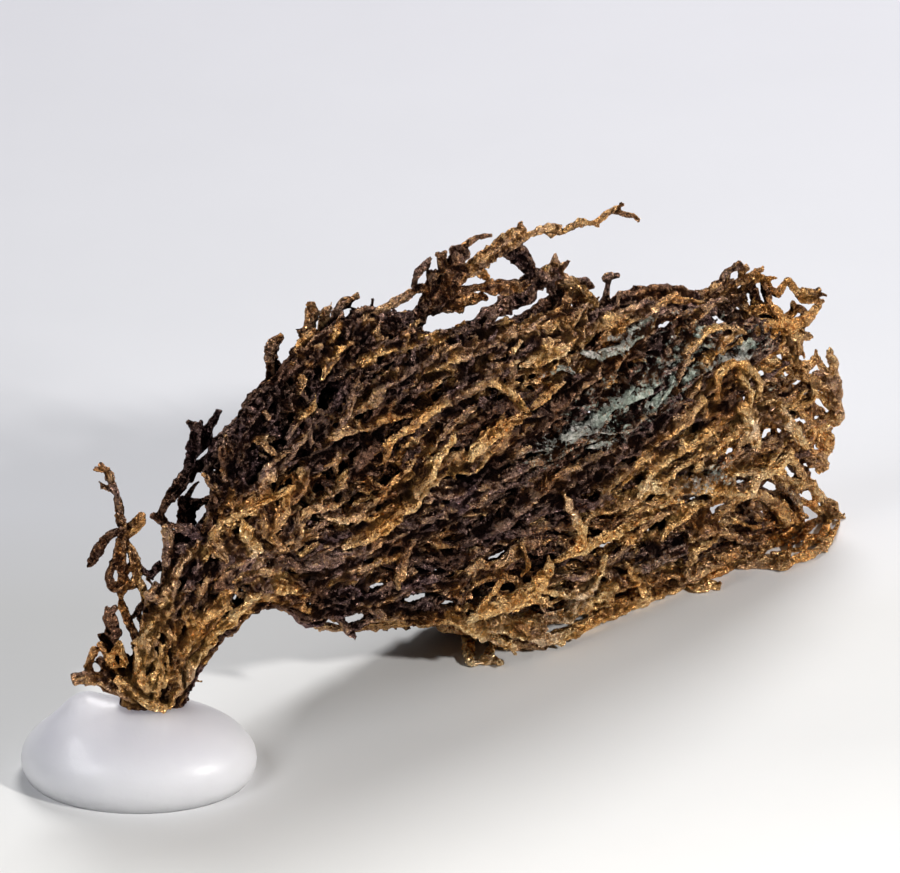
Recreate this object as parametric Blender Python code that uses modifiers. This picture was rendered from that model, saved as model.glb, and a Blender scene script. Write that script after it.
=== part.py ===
"""Arborescent native copper: a root, two side twigs and a fan of fused strands, held at the root in a putty foot.

Every strand is drawn in the slanted plane that faces a viewer LOOK_DOWN degrees above the front: `across` runs
to the right and `up` runs up in that plane, both in millimetres from the middle of the foot's base. A third
value, the depth, says how far back the point is. `place` turns the three into a position in space.
"""

import math
import random

import bmesh
import bpy
import numpy as np
from mathutils import Vector

MM = 0.001

# Driving dimensions, in millimetres and degrees.
LOOK_DOWN = 30.0
FOOT_LENGTH = 23.6
FOOT_DEPTH = 16.4
FOOT_HEIGHT = 7.6
SHEET_SLOPE = 0.70
SHEET_SETBACK = 2.5
SETBACK_LENGTH = 20.0
FLOOR_CLEARANCE = 0.02
JOINT_GAP = 0.4
SWELL = 0.7
SEAM_OVERLAP = 0.12
CORE_RADIUS = 2.1
COARSE_VOXEL = 0.42
FINE_VOXEL = 0.22

SIN_LOOK = math.sin(math.radians(LOOK_DOWN))
COS_LOOK = math.cos(math.radians(LOOK_DOWN))

# Ribs of the fan, from its lower edge to its crown, each from the root to the tip at the same eight stations.
RIBS = (
    ((3.8, 5.0), (6.3, 10.4), (12.2, 16.8), (19.5, 15.0), (30.0, 14.4), (42.0, 13.6), (56.0, 18.4), (69.8, 25.2)),
    ((3.0, 4.8), (5.5, 11.4), (11.6, 18.0), (19.0, 18.4), (29.0, 20.2), (41.0, 23.7), (54.0, 28.2), (69.2, 34.7)),
    ((2.0, 4.7), (4.6, 12.4), (10.9, 19.2), (18.2, 21.2), (27.5, 24.7), (38.5, 29.4), (50.5, 35.2), (65.0, 44.2)),
    ((1.0, 4.7), (3.8, 13.2), (10.2, 20.5), (17.0, 24.0), (25.2, 28.4), (35.0, 33.4), (45.0, 39.7), (56.0, 47.4)),
    ((0.1, 4.8), (3.0, 14.0), (9.4, 21.9), (15.2, 26.7), (22.0, 31.7), (30.0, 36.7), (38.0, 42.0), (46.0, 47.0)),
    ((-0.8, 5.0), (2.3, 14.8), (8.6, 23.4), (13.0, 29.2), (18.2, 34.4), (24.0, 38.8), (30.0, 42.2), (36.5, 45.0)),
    ((-1.6, 5.4), (1.7, 15.7), (7.8, 25.0), (10.0, 31.0), (13.2, 36.0), (17.2, 40.4), (21.5, 44.0), (26.2, 46.2)),
    ((-2.4, 5.8), (1.2, 16.6), (7.0, 26.8), (6.9, 31.0), (8.2, 34.7), (11.2, 38.2), (14.5, 41.7), (18.2, 46.0)),
)
LAST_RIB = len(RIBS) - 1
LAST_STATION = len(RIBS[0]) - 1
NECK_STATION = 1.75
NECK_GAP = 0.055

# Half of the fan's thickness, front to back, at each station, and its share at each rib.
HALF_THICKNESS = (2.2, 3.0, 4.6, 6.4, 7.6, 7.8, 6.6, 4.0)
RIB_THICKNESS = (0.85, 1.0, 1.0, 1.0, 0.95, 0.85, 0.7, 0.45)

# Strands placed one by one: (depth from the sheet, radius at the start, radius at the tip, points).
ROOT_STRANDS = (
    (-1.0, 0.9, 0.5, ((-6.2, 9.4), (-4.8, 10.4), (-3.6, 11.7), (-3.0, 13.2), (-2.7, 14.4), (-2.3, 16.3))),
    (0.5, 0.8, 0.6, ((-4.3, 14.0), (-3.2, 13.3), (-2.2, 11.7), (-1.0, 10.2))),
    (-2.0, 1.2, 1.3, ((-5.6, 9.2), (-3.0, 9.2), (0.0, 8.4), (2.4, 7.0), (3.6, 6.4))),
    (1.0, 1.3, 1.2, ((-5.0, 9.8), (-2.2, 10.8), (0.4, 12.0), (2.6, 14.6))),
    (-2.4, 0.9, 0.8, ((1.6, 6.6), (0.0, 11.6), (1.0, 15.0), (3.4, 18.6))),
    (-2.6, 0.9, 0.7, ((3.2, 6.4), (4.4, 9.3), (3.4, 12.0), (5.6, 15.6))),
    (-1.5, 0.8, 0.7, ((4.2, 6.4), (4.6, 9.3), (5.9, 10.3), (8.1, 13.3), (10.6, 14.8))),
)
SPRIG_STRANDS = (
    (0.0, 0.85, 0.6, ((-0.4, 11.4), (-0.1, 13.3), (-0.6, 14.3), (-1.4, 16.0), (-1.6, 17.9), (-1.8, 20.0), (-1.4, 24.4))),
    (-0.3, 0.8, 0.9, ((-1.7, 18.4), (-2.6, 19.2), (-2.9, 19.6))),
    (0.2, 0.6, 0.6, ((-2.4, 20.4), (-1.6, 20.9), (-1.0, 20.8))),
    (0.3, 0.6, 0.4, ((-1.4, 24.4), (-1.5, 25.8), (-1.9, 27.1), (-2.2, 28.2), (-3.3, 29.5), (-3.8, 30.8))),
    (0.2, 0.4, 0.35, ((-2.3, 28.1), (-3.0, 28.5), (-3.7, 28.4))),
    (-0.4, 0.6, 0.5, ((-1.4, 24.4), (-2.9, 23.2), (-4.2, 22.0), (-4.9, 21.1))),
    (0.4, 0.6, 0.4, ((-1.4, 24.4), (-0.2, 24.5), (0.5, 25.9))),
    (0.8, 0.6, 0.5, ((-1.6, 18.6), (-0.8, 18.8), (0.4, 18.2))),
    (1.0, 0.8, 0.5, ((0.3, 13.2), (0.9, 15.7), (0.7, 17.9), (-0.1, 20.1), (0.0, 21.5))),
)
OUTER_STRANDS = (
    (1.5, 1.0, 0.8, ((2.2, 18.2), (1.7, 20.6), (1.5, 23.4), (1.8, 25.8), (3.1, 28.1), (4.2, 29.9), (5.0, 31.8), (5.9, 34.4))),
    (2.2, 1.0, 0.8, ((3.4, 20.2), (3.4, 22.6), (4.4, 25.2), (5.0, 27.6), (5.4, 29.4), (5.9, 31.6), (6.2, 34.0))),
    (1.8, 0.9, 0.9, ((1.9, 22.4), (3.4, 23.4), (4.6, 25.4))),
    (2.0, 0.7, 0.7, ((2.6, 27.4), (4.0, 27.8), (5.2, 27.2))),
    (1.6, 0.7, 0.5, ((3.9, 29.4), (4.6, 32.0), (6.0, 33.6), (7.3, 35.6), (8.0, 36.6))),
)
SPRAY_STRANDS = (
    (-1.0, 1.5, 1.2, ((27.6, 44.6), (28.6, 46.2), (30.4, 47.1), (31.6, 48.2))),
    (-0.6, 1.0, 0.5, ((29.0, 46.8), (29.4, 48.6), (30.6, 51.5), (31.7, 53.0), (33.3, 53.3), (35.2, 53.5))),
    (-0.2, 0.6, 0.45, ((29.0, 46.8), (27.3, 48.4), (28.0, 49.6), (28.7, 50.7))),
    (-1.2, 1.0, 0.8, ((30.0, 46.2), (31.6, 48.4), (33.1, 50.7), (36.3, 51.7), (37.5, 53.2), (38.2, 54.4))),
    (-1.2, 0.8, 0.5, ((38.2, 54.2), (39.1, 53.8), (40.7, 54.0), (42.4, 54.1), (44.4, 55.0), (47.2, 56.1), (48.3, 56.9))),
    (-1.2, 0.5, 0.4, ((47.0, 56.0), (48.4, 55.7), (49.6, 55.7))),
    (-1.6, 0.6, 0.5, ((36.8, 52.4), (38.2, 52.0), (39.2, 49.8))),
    (-0.4, 1.0, 0.6, ((30.2, 46.8), (32.5, 47.0), (34.8, 47.3))),
    (-1.4, 1.0, 0.9, ((31.0, 47.8), (33.0, 48.4), (36.7, 48.6), (39.2, 49.2))),
    (-1.4, 0.5, 0.4, ((33.0, 48.4), (34.2, 49.6))),
)
TIP_STRANDS = (
    (1.0, 0.9, 0.7, ((55.4, 46.6), (57.4, 47.8), (59.2, 50.1), (60.1, 50.8), (61.9, 49.9), (63.5, 49.4))),
    (1.0, 0.7, 0.5, ((63.5, 49.4), (64.2, 48.1), (65.3, 49.0), (66.4, 48.0), (68.7, 48.0))),
    (1.0, 0.6, 0.6, ((68.7, 48.0), (68.1, 47.1), (67.4, 45.8), (65.8, 44.9), (64.9, 45.5), (63.6, 46.8))),
    (0.4, 0.7, 0.6, ((64.9, 45.5), (66.2, 44.3), (66.9, 43.7), (66.2, 41.9))),
    (0.6, 1.0, 0.8, ((57.8, 45.4), (60.0, 46.6), (62.0, 47.6), (64.2, 48.1))),
    (1.4, 0.9, 0.7, ((58.6, 47.2), (60.4, 48.8), (62.4, 48.9))),
    (0.2, 0.8, 0.7, ((60.2, 45.6), (62.6, 45.8), (64.9, 45.5))),
)
UPPER_STRANDS = (
    (0.4, 1.1, 0.7, ((31.4, 43.1), (35.2, 46.0), (37.9, 46.9), (39.8, 49.0), (40.5, 50.5), (41.6, 51.7))),
    (0.8, 0.7, 0.5, ((40.5, 50.3), (41.6, 50.3), (42.6, 50.7))),
    (1.2, 1.0, 0.7, ((37.1, 44.0), (40.3, 46.7), (42.8, 48.6), (45.0, 49.0))),
    (1.0, 0.8, 0.6, ((42.3, 49.2), (44.0, 47.9), (45.5, 46.7), (45.6, 45.4))),
    (1.4, 0.7, 0.9, ((45.4, 45.2), (46.6, 47.0), (46.9, 48.7), (47.0, 49.6))),
    (1.5, 0.9, 0.7, ((44.0, 44.6), (47.0, 46.9), (49.9, 48.4), (52.8, 48.9), (55.0, 48.6))),
)
CROWN_STRANDS = (
    (0.5, 0.9, 0.5, ((11.2, 38.2), (12.8, 40.6), (13.0, 42.6), (14.3, 43.9))),
    (0.2, 1.0, 0.6, ((16.0, 42.0), (17.6, 46.3), (20.0, 46.8), (22.0, 47.4))),
    (-0.4, 1.0, 0.6, ((18.0, 43.0), (21.2, 46.2), (24.0, 47.2), (26.6, 47.0))),
    (0.8, 0.9, 0.7, ((7.2, 33.0), (7.6, 36.4), (10.0, 37.4), (12.5, 38.9))),
)
MIDDLE_STRANDS = (
    (0.0, 0.9, 0.7, ((60.0, 43.0), (64.0, 41.4), (68.0, 41.7), (69.6, 41.4), (70.1, 39.9), (70.3, 37.8))),
    (0.4, 1.0, 0.8, ((58.0, 40.0), (63.0, 40.0), (66.4, 40.6), (68.2, 39.4), (70.3, 37.8))),
)
LOWER_STRANDS = (
    (0.2, 0.9, 0.7, ((62.0, 35.0), (67.0, 36.2), (70.2, 35.4), (69.1, 33.1), (69.1, 31.6), (68.4, 30.0))),
    (0.6, 0.7, 0.6, ((62.0, 31.0), (65.3, 31.4), (66.5, 29.2), (65.4, 27.4))),
    (0.0, 0.8, 0.6, ((60.0, 27.0), (64.4, 28.4), (66.7, 28.6), (69.9, 26.9), (70.6, 25.5))),
)
EDGE_STRANDS = (
    (0.0, 1.1, 0.9, ((14.6, 15.8), (18.0, 14.3), (21.0, 14.1), (29.0, 14.2), (32.4, 13.2), (35.4, 12.4), (40.1, 12.2))),
    (0.0, 1.1, 0.8, ((35.4, 12.6), (40.1, 12.3), (45.1, 14.5), (50.0, 16.6), (55.2, 18.6), (60.0, 20.4), (65.5, 21.6))),
    (0.2, 0.9, 0.7, ((60.0, 20.6), (65.5, 21.6), (68.8, 23.2), (70.2, 25.2))),
    (-0.2, 0.6, 0.5, ((57.6, 20.0), (58.2, 18.7), (57.6, 17.9))),
    (0.0, 0.9, 0.7, ((32.8, 14.0), (32.5, 12.6), (32.4, 11.5), (33.0, 10.8), (34.9, 10.7), (36.2, 11.4))),
    (0.2, 0.7, 0.6, ((35.4, 12.8), (34.4, 11.8), (34.7, 10.9))),
)
# Strands under the back of the fan, which share its weight with the lower edge: (across, depth) on the surface.
RUNNER_RADIUS = 1.0
RUNNERS = (
    ((26.0, 24.6), (32.0, 29.6), (40.0, 35.6), (48.0, 41.4), (56.0, 47.0)),
    ((30.0, 23.2), (38.0, 28.6), (46.0, 33.4), (54.0, 38.4), (61.0, 43.4)),
)
RUNNER_STRUTS = ((30.0, 27.0, 21.0), (38.0, 33.0, 23.0), (46.0, 39.0, 26.0), (54.0, 44.0, 30.0))

# The limbs of the fan, split at its main forks: (name, first rib, last rib, strands, triangles, placed strands).
LIMBS = (
    ("bottom_limb", 0.0, 0.95, 10, 800, EDGE_STRANDS),
    ("lower_limb", 0.95, 2.05, 15, 800, LOWER_STRANDS),
    ("middle_limb", 2.05, 3.3, 17, 800, MIDDLE_STRANDS),
    ("upper_limb", 3.3, 5.2, 19, 900, UPPER_STRANDS),
    ("crown_limb", 5.2, 7.0, 14, 700, CROWN_STRANDS),
)
ROOT_TRIANGLES = 600
SPRIG_TRIANGLES = 700
OUTER_TRIANGLES = 440
SPRAY_TRIANGLES = 800
TIP_TRIANGLES = 500
FOOT_TRIANGLES = 300

# The foot: a main dome, a fold pulled up round the root on the left and a lobe behind on the right.
# Each is (centre, radii) in millimetres.
FOOT_LUMPS = (
    ((0.0, 0.0, 0.0), (FOOT_LENGTH / 2, FOOT_DEPTH / 2, FOOT_HEIGHT)),
    ((-4.6, 0.4, 0.8), (6.4, 6.2, 7.6)),
    ((-6.4, 0.6, 6.4), (2.2, 2.4, 3.4)),
    ((5.6, 2.6, 0.4), (5.9, 5.2, 5.8)),
)


def clear_scene():
    for item in list(bpy.data.objects):
        bpy.data.objects.remove(item, do_unlink=True)


def material(name, colour, roughness, metallic):
    made = bpy.data.materials.new(name)
    made.use_nodes = True
    shader = made.node_tree.nodes["Principled BSDF"]
    shader.inputs["Base Color"].default_value = (*colour, 1.0)
    shader.inputs["Roughness"].default_value = roughness
    shader.inputs["Metallic"].default_value = metallic
    return made


def sheet_depth(across):
    """How far back the middle of the fan is: it swings away from the front as it runs to the right."""
    setback = SHEET_SETBACK * min(max(across / SETBACK_LENGTH, 0.0), 1.0)
    return SHEET_SLOPE * max(across - 1.0, 0.0) + setback


def place(across, up, depth, radius):
    """A point in space, moved forward where it would otherwise sink below the surface."""
    deepest = (up - COS_LOOK * (radius + FLOOR_CLEARANCE)) / SIN_LOOK
    depth = min(depth, deepest)
    return Vector((across, depth, (up - depth * SIN_LOOK) / COS_LOOK))


def through(points, share):
    """The point at `share` of a smooth (Catmull-Rom) curve through the points."""
    points = np.asarray(points, dtype=float)
    position = share * (len(points) - 1)
    start = min(int(position), len(points) - 2)
    t = position - start
    before = points[start - 1] if start > 0 else 2 * points[0] - points[1]
    after = points[start + 2] if start + 2 < len(points) else 2 * points[-1] - points[-2]
    here, there = points[start], points[start + 1]
    return 0.5 * (
        2 * here
        + (there - before) * t
        + (2 * before - 5 * here + 4 * there - after) * t**2
        + (3 * here - before - 3 * there + after) * t**3
    )


def fan_point(rib, station):
    """(across, up) at a rib number and a station number, either of which may be a fraction."""
    share = min(max(station / LAST_STATION, 0.0), 1.0)
    column = [through(guide, share) for guide in RIBS]
    return through(column, min(max(rib / LAST_RIB, 0.0), 1.0))


def half_thickness(rib, station):
    along = np.interp(station, range(LAST_STATION + 1), HALF_THICKNESS)
    return along * np.interp(rib, range(LAST_RIB + 1), RIB_THICKNESS)


def placed_strand(strand):
    """[(position, radius)] along one strand that is placed by its own points."""
    offset, first_radius, last_radius, points = strand
    count = 3 * len(points)
    line = []
    for step in range(count + 1):
        share = step / count
        across, up = through(points, share)
        radius = first_radius + (last_radius - first_radius) * share
        radius *= 1.0 + 0.16 * math.sin(2.3 * step)
        line.append((place(across, up, sheet_depth(across) + offset, radius), radius))
    return line


def fan_strand(rng, ribs, rib, layer, stations, radius):
    """[(position, radius)] along one strand of the fan. `layer` runs from -1 at its front to 1 at its back."""
    first, last = stations
    sway = rng.uniform(0.0, math.tau)
    count = 16
    line = []
    for step in range(count + 1):
        share = step / count
        station = first + (last - first) * share
        swing = math.sin(sway + 4.4 * share) - math.sin(sway)
        here = min(max(rib + 0.16 * swing, ribs[0] - SEAM_OVERLAP), ribs[1] + SEAM_OVERLAP)
        depth_share = min(max(layer + 0.22 * math.sin(2.0 * sway + 5.1 * share), -1.0), 1.0)
        across, up = fan_point(here, station)
        depth = sheet_depth(across) + depth_share * half_thickness(here, station)
        size = radius * (1.0 - 0.30 * share**2) * (1.0 + 0.20 * math.sin(sway + 13.0 * share))
        line.append((place(across, up, depth, size), size))
    return line


def limb_strands(name, ribs, count):
    """The strands that fill the limb between two ribs, spread evenly over its width and depth."""
    rng = random.Random(name)
    strands = []
    for number in range(count):
        rib = ribs[0] + (ribs[1] - ribs[0]) * (number + 0.5) / count
        layer = -0.9 + 1.8 * ((number * 0.618) % 1.0)
        end = LAST_STATION * rng.uniform(0.92, 1.0)
        strands.append(fan_strand(rng, ribs, rib, layer, (NECK_STATION - 0.3, end), rng.uniform(1.4, 1.9)))
    for share in (0.1, 0.5, 0.9):
        middle = ribs[0] + (ribs[1] - ribs[0]) * share
        for layer in (-0.5, 0.1, 0.6):
            core = fan_strand(rng, ribs, middle, layer, (NECK_STATION - 0.3, LAST_STATION * 0.93), CORE_RADIUS)
            strands.append(core)
    return strands


def runner_strands():
    strands = []
    for guide in RUNNERS:
        line = []
        for step in range(13):
            across, depth = through(guide, step / 12)
            line.append((Vector((across, depth, RUNNER_RADIUS + FLOOR_CLEARANCE)), RUNNER_RADIUS))
        strands.append(line)
    for across, depth, up in RUNNER_STRUTS:
        foot = Vector((across, depth, RUNNER_RADIUS + FLOOR_CLEARANCE))
        top = place(across, up, depth, RUNNER_RADIUS)
        strands.append([(foot, 1.6), ((foot + top) / 2, 1.8), (top, 1.8)])
    return strands


def evaluated_mesh(source):
    graph = bpy.context.evaluated_depsgraph_get()
    return bpy.data.meshes.new_from_object(source.evaluated_get(graph))


def keep_largest_piece(mesh):
    """Removes loose specks and the inner faces of sealed hollows, which leaves one closed skin."""
    skin = bmesh.new()
    skin.from_mesh(mesh)
    unseen = set(skin.verts)
    pieces = []
    while unseen:
        stack = [unseen.pop()]
        piece = list(stack)
        while stack:
            for edge in stack.pop().link_edges:
                for end in edge.verts:
                    if end in unseen:
                        unseen.remove(end)
                        stack.append(end)
                        piece.append(end)
        pieces.append(piece)
    pieces.sort(key=len)
    for piece in pieces[:-1]:
        bmesh.ops.delete(skin, geom=piece, context="VERTS")
    skin.to_mesh(mesh)
    skin.free()


def replaced(source, mesh):
    """The object with its new mesh and no modifiers."""
    source.modifiers.clear()
    old = source.data
    source.data = mesh
    bpy.data.meshes.remove(old)
    return source


def tubes(name, strands, collection):
    """One mesh object that holds a closed tube along each strand."""
    curve = bpy.data.curves.new(name, "CURVE")
    curve.dimensions = "3D"
    curve.bevel_depth = MM
    curve.bevel_resolution = 2
    curve.use_fill_caps = True
    for line in strands:
        spline = curve.splines.new("POLY")
        spline.points.add(len(line) - 1)
        for point, (position, radius) in zip(spline.points, line):
            point.co = (*(position * MM), 1.0)
            point.radius = radius
    drawn = bpy.data.objects.new(name + "_line", curve)
    collection.objects.link(drawn)
    mesh = evaluated_mesh(drawn)
    welded = bmesh.new()
    welded.from_mesh(mesh)
    bmesh.ops.remove_doubles(welded, verts=welded.verts, dist=1e-6)
    welded.to_mesh(mesh)
    welded.free()
    bpy.data.objects.remove(drawn)
    bpy.data.curves.remove(curve)
    made = bpy.data.objects.new(name, mesh)
    collection.objects.link(made)
    return made


def fused(source, voxel):
    """Grows the overlapping shapes together into one closed skin."""
    remesh = source.modifiers.new("fuse", "REMESH")
    remesh.mode = "VOXEL"
    remesh.voxel_size = voxel * MM
    mesh = evaluated_mesh(source)
    keep_largest_piece(mesh)
    return replaced(source, mesh)


def thinned(source, triangles):
    """Reduces the skin to about this many triangles."""
    now = sum(len(face.vertices) - 2 for face in source.data.polygons)
    if now > triangles:
        decimate = source.modifiers.new("thin", "DECIMATE")
        decimate.ratio = triangles / now
        mesh = evaluated_mesh(source)
        replaced(source, mesh)
    return source


def cut(source, operation, cutter):
    boolean = source.modifiers.new("cut", "BOOLEAN")
    boolean.operation = operation
    boolean.object = cutter
    mesh = evaluated_mesh(source)
    keep_largest_piece(mesh)
    return replaced(source, mesh)


def sector(name, corners, collection):
    """A prism over a closed outline of (across, up) points, long enough to pass right through the fan."""
    reach = (-60.0, 130.0)
    made = bmesh.new()
    front = []
    for across, up in corners:
        depth = reach[0]
        front.append(made.verts.new(Vector((across, COS_LOOK * depth, -SIN_LOOK * depth)) * MM))
        front[-1].co += Vector((0.0, SIN_LOOK * up, COS_LOOK * up)) * MM
    face = made.faces.new(front)
    pushed = bmesh.ops.extrude_face_region(made, geom=[face])
    moved = [item for item in pushed["geom"] if isinstance(item, bmesh.types.BMVert)]
    length = reach[1] - reach[0]
    bmesh.ops.translate(made, verts=moved, vec=Vector((0.0, COS_LOOK, -SIN_LOOK)) * length * MM)
    bmesh.ops.recalc_face_normals(made, faces=made.faces)
    mesh = bpy.data.meshes.new(name)
    made.to_mesh(mesh)
    made.free()
    prism = bpy.data.objects.new(name, mesh)
    collection.objects.link(prism)
    return prism


def limb_outline(ribs):
    """The outline of one limb: along its lower fork, round the open end and back along its upper fork."""
    half_gap = JOINT_GAP / 2
    sides = []
    for rib, side in ((ribs[0], 1.0), (ribs[1], -1.0)):
        line = [fan_point(rib, station) for station in np.linspace(NECK_STATION, LAST_STATION, 12)]
        line = [Vector((*point, 0.0)) for point in line]
        moved = []
        for number, point in enumerate(line):
            ahead = line[min(number + 1, len(line) - 1)]
            behind = line[max(number - 1, 0)]
            normal = Vector((behind.y - ahead.y, ahead.x - behind.x, 0.0)).normalized()
            moved.append(point + side * half_gap * normal)
        onward = (moved[-1] - moved[-2]).normalized()
        moved.append(moved[-1] + 16.0 * onward)
        sides.append(moved)
    lower, upper = sides
    if ribs[0] == 0.0:
        lower = [Vector((14.0, 12.0, 0.0)), Vector((30.0, 6.0, 0.0)), Vector((80.0, 6.0, 0.0))]
        lower.insert(0, Vector((*fan_point(0.0, NECK_STATION), 0.0)))
    if ribs[1] == LAST_RIB:
        upper = [Vector((6.2, 27.0, 0.0)), Vector((5.9, 31.0, 0.0)), Vector((6.6, 40.0, 0.0)), Vector((24.0, 56.0, 0.0))]
        upper.insert(0, Vector((*fan_point(LAST_RIB, NECK_STATION), 0.0)))
    return [(point.x, point.y) for point in lower + upper[::-1]]


def neck_outline():
    """The root's side of the neck, which the limbs leave."""
    seam = [fan_point(rib, NECK_STATION - NECK_GAP) for rib in np.linspace(0.0, LAST_RIB, 8)]
    corners = [(30.0, -20.0), (13.4, 12.0)]
    corners += [tuple(point) for point in seam]
    corners += [(-2.0, 26.0), (-20.0, 26.0), (-20.0, -20.0)]
    return corners


def build_limb(entry, parts, helpers, neighbours):
    name, first_rib, last_rib, count, triangles, placed = entry
    ribs = (first_rib, last_rib)
    strands = limb_strands(name, ribs, count)
    strands += [placed_strand(strand) for strand in placed]
    if name == "bottom_limb":
        strands += runner_strands()
    limb = thinned(fused(tubes(name, strands, parts), COARSE_VOXEL), triangles)
    cut(limb, "INTERSECT", sector(name + "_sector", limb_outline(ribs), helpers))
    for neighbour in neighbours:
        cut(limb, "DIFFERENCE", neighbour)
    return limb


def room_for(piece, helpers):
    """A swollen copy of a piece, which its neighbours are cut by so that they stay clear of it."""
    room = bpy.data.objects.new(piece.name + "_room", piece.data.copy())
    helpers.objects.link(room)
    swell = room.modifiers.new("swell", "DISPLACE")
    swell.strength = SWELL * MM
    swell.mid_level = 0.0
    replaced(room, evaluated_mesh(room))
    return thinned(fused(room, FINE_VOXEL), len(piece.data.polygons))


def build_fine(name, placed, triangles, parts, helpers):
    """(the piece, the room that it needs)."""
    strands = [placed_strand(strand) for strand in placed]
    piece = thinned(fused(tubes(name, strands, parts), FINE_VOXEL), triangles)
    return piece, room_for(piece, helpers)


def build_root(parts, helpers, neighbours):
    rng = random.Random("root")
    strands = []
    for number in range(14):
        rib = LAST_RIB * (number + 0.5) / 14
        layer = -0.9 + 1.8 * ((number * 0.618) % 1.0)
        strands.append(fan_strand(rng, (0.0, LAST_RIB), rib, layer, (0.0, 2.2), rng.uniform(1.1, 1.4)))
    for rib in (1.8, 3.6, 5.2):
        strands.append(fan_strand(rng, (0.0, LAST_RIB), rib, 0.0, (0.0, 2.2), 2.0))
    strands += [placed_strand(strand) for strand in ROOT_STRANDS]
    root = thinned(fused(tubes("root_stock", strands, parts), COARSE_VOXEL), ROOT_TRIANGLES)
    cut(root, "INTERSECT", sector("root_sector", neck_outline(), helpers))
    for neighbour in neighbours:
        cut(root, "DIFFERENCE", neighbour)
    return root, room_for(root, helpers)


def build_foot(parts, root_room):
    """The putty foot, flat underneath, with a pocket that the root stands in."""
    lumps = bmesh.new()
    for centre, radii in FOOT_LUMPS:
        made = bmesh.ops.create_uvsphere(lumps, u_segments=32, v_segments=20, radius=1.0)
        bmesh.ops.scale(lumps, vec=Vector(radii) * MM, verts=made["verts"])
        bmesh.ops.translate(lumps, vec=Vector(centre) * MM, verts=made["verts"])
    mesh = bpy.data.meshes.new("putty_foot")
    lumps.to_mesh(mesh)
    lumps.free()
    foot = bpy.data.objects.new("putty_foot", mesh)
    parts.objects.link(foot)
    fused(foot, COARSE_VOXEL)
    thinned(foot, 2 * FOOT_TRIANGLES)
    flat = bmesh.new()
    flat.from_mesh(foot.data)
    everything = flat.verts[:] + flat.edges[:] + flat.faces[:]
    bmesh.ops.bisect_plane(flat, geom=everything, plane_no=(0.0, 0.0, -1.0), clear_outer=True)
    rim = [edge for edge in flat.edges if edge.is_boundary]
    bmesh.ops.contextual_create(flat, geom=rim)
    flat.to_mesh(foot.data)
    flat.free()
    return cut(foot, "DIFFERENCE", root_room)


def centre_on_base(nodes):
    """Moves the whole object so that its origin is the middle of its box, on the surface."""
    corners = [vertex.co for node in nodes for vertex in node.data.vertices]
    middle_x = (min(co.x for co in corners) + max(co.x for co in corners)) / 2
    middle_y = (min(co.y for co in corners) + max(co.y for co in corners)) / 2
    lowest = min(co.z for co in corners)
    for node in nodes:
        for vertex in node.data.vertices:
            vertex.co -= Vector((middle_x, middle_y, lowest))


def main():
    clear_scene()
    parts = bpy.data.collections.new("native_copper")
    helpers = bpy.data.collections.new("cutters")
    bpy.context.scene.collection.children.link(parts)
    bpy.context.scene.collection.children.link(helpers)
    copper = material("tarnished_copper", (0.30, 0.16, 0.07), 0.42, 1.0)
    patina = material("copper_with_verdigris", (0.27, 0.24, 0.17), 0.55, 0.7)
    putty = material("milky_putty", (0.78, 0.76, 0.80), 0.30, 0.0)

    sprig, sprig_room = build_fine("left_sprig", SPRIG_STRANDS, SPRIG_TRIANGLES, parts, helpers)
    outer, outer_room = build_fine("outer_branch", OUTER_STRANDS, OUTER_TRIANGLES, parts, helpers)
    spray, spray_room = build_fine("top_spray", SPRAY_STRANDS, SPRAY_TRIANGLES, parts, helpers)
    tip, tip_room = build_fine("tip_cluster", TIP_STRANDS, TIP_TRIANGLES, parts, helpers)
    cut(outer, "DIFFERENCE", sprig_room)
    root, root_room = build_root(parts, helpers, [sprig_room, outer_room])
    foot = build_foot(parts, root_room)
    near = {
        "middle_limb": [tip_room],
        "upper_limb": [spray_room, tip_room],
        "crown_limb": [outer_room, spray_room],
    }
    limbs = [build_limb(entry, parts, helpers, near.get(entry[0], [])) for entry in LIMBS]

    copper_nodes = [root, sprig, outer, spray, tip, *limbs]
    for node in copper_nodes:
        node.data.materials.append(patina if node.name == "middle_limb" else copper)
    foot.data.materials.append(putty)
    centre_on_base([foot, *copper_nodes])
    for helper in list(helpers.objects):
        bpy.data.objects.remove(helper)
    bpy.data.collections.remove(helpers)


main()
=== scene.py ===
"""The looks of an arborescent native copper specimen in a putty foot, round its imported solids."""

import math

import bmesh
import bpy
import numpy as np
from mathutils import Matrix, Vector, kdtree


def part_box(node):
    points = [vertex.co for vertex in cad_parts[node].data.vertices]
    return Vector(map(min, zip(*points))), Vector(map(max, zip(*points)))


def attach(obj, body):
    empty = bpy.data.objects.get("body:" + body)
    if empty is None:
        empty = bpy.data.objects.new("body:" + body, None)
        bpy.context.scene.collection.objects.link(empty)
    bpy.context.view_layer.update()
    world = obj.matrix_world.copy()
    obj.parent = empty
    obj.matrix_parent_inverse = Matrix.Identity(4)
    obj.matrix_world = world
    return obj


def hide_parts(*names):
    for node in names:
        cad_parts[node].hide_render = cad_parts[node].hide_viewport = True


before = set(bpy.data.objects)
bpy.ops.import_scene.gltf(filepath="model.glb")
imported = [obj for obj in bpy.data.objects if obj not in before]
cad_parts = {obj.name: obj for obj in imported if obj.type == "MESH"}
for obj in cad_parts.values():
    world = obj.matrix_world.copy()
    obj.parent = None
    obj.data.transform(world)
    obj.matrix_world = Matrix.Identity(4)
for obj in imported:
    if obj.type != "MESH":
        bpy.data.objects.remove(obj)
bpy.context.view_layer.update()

MM = 0.001

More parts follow.
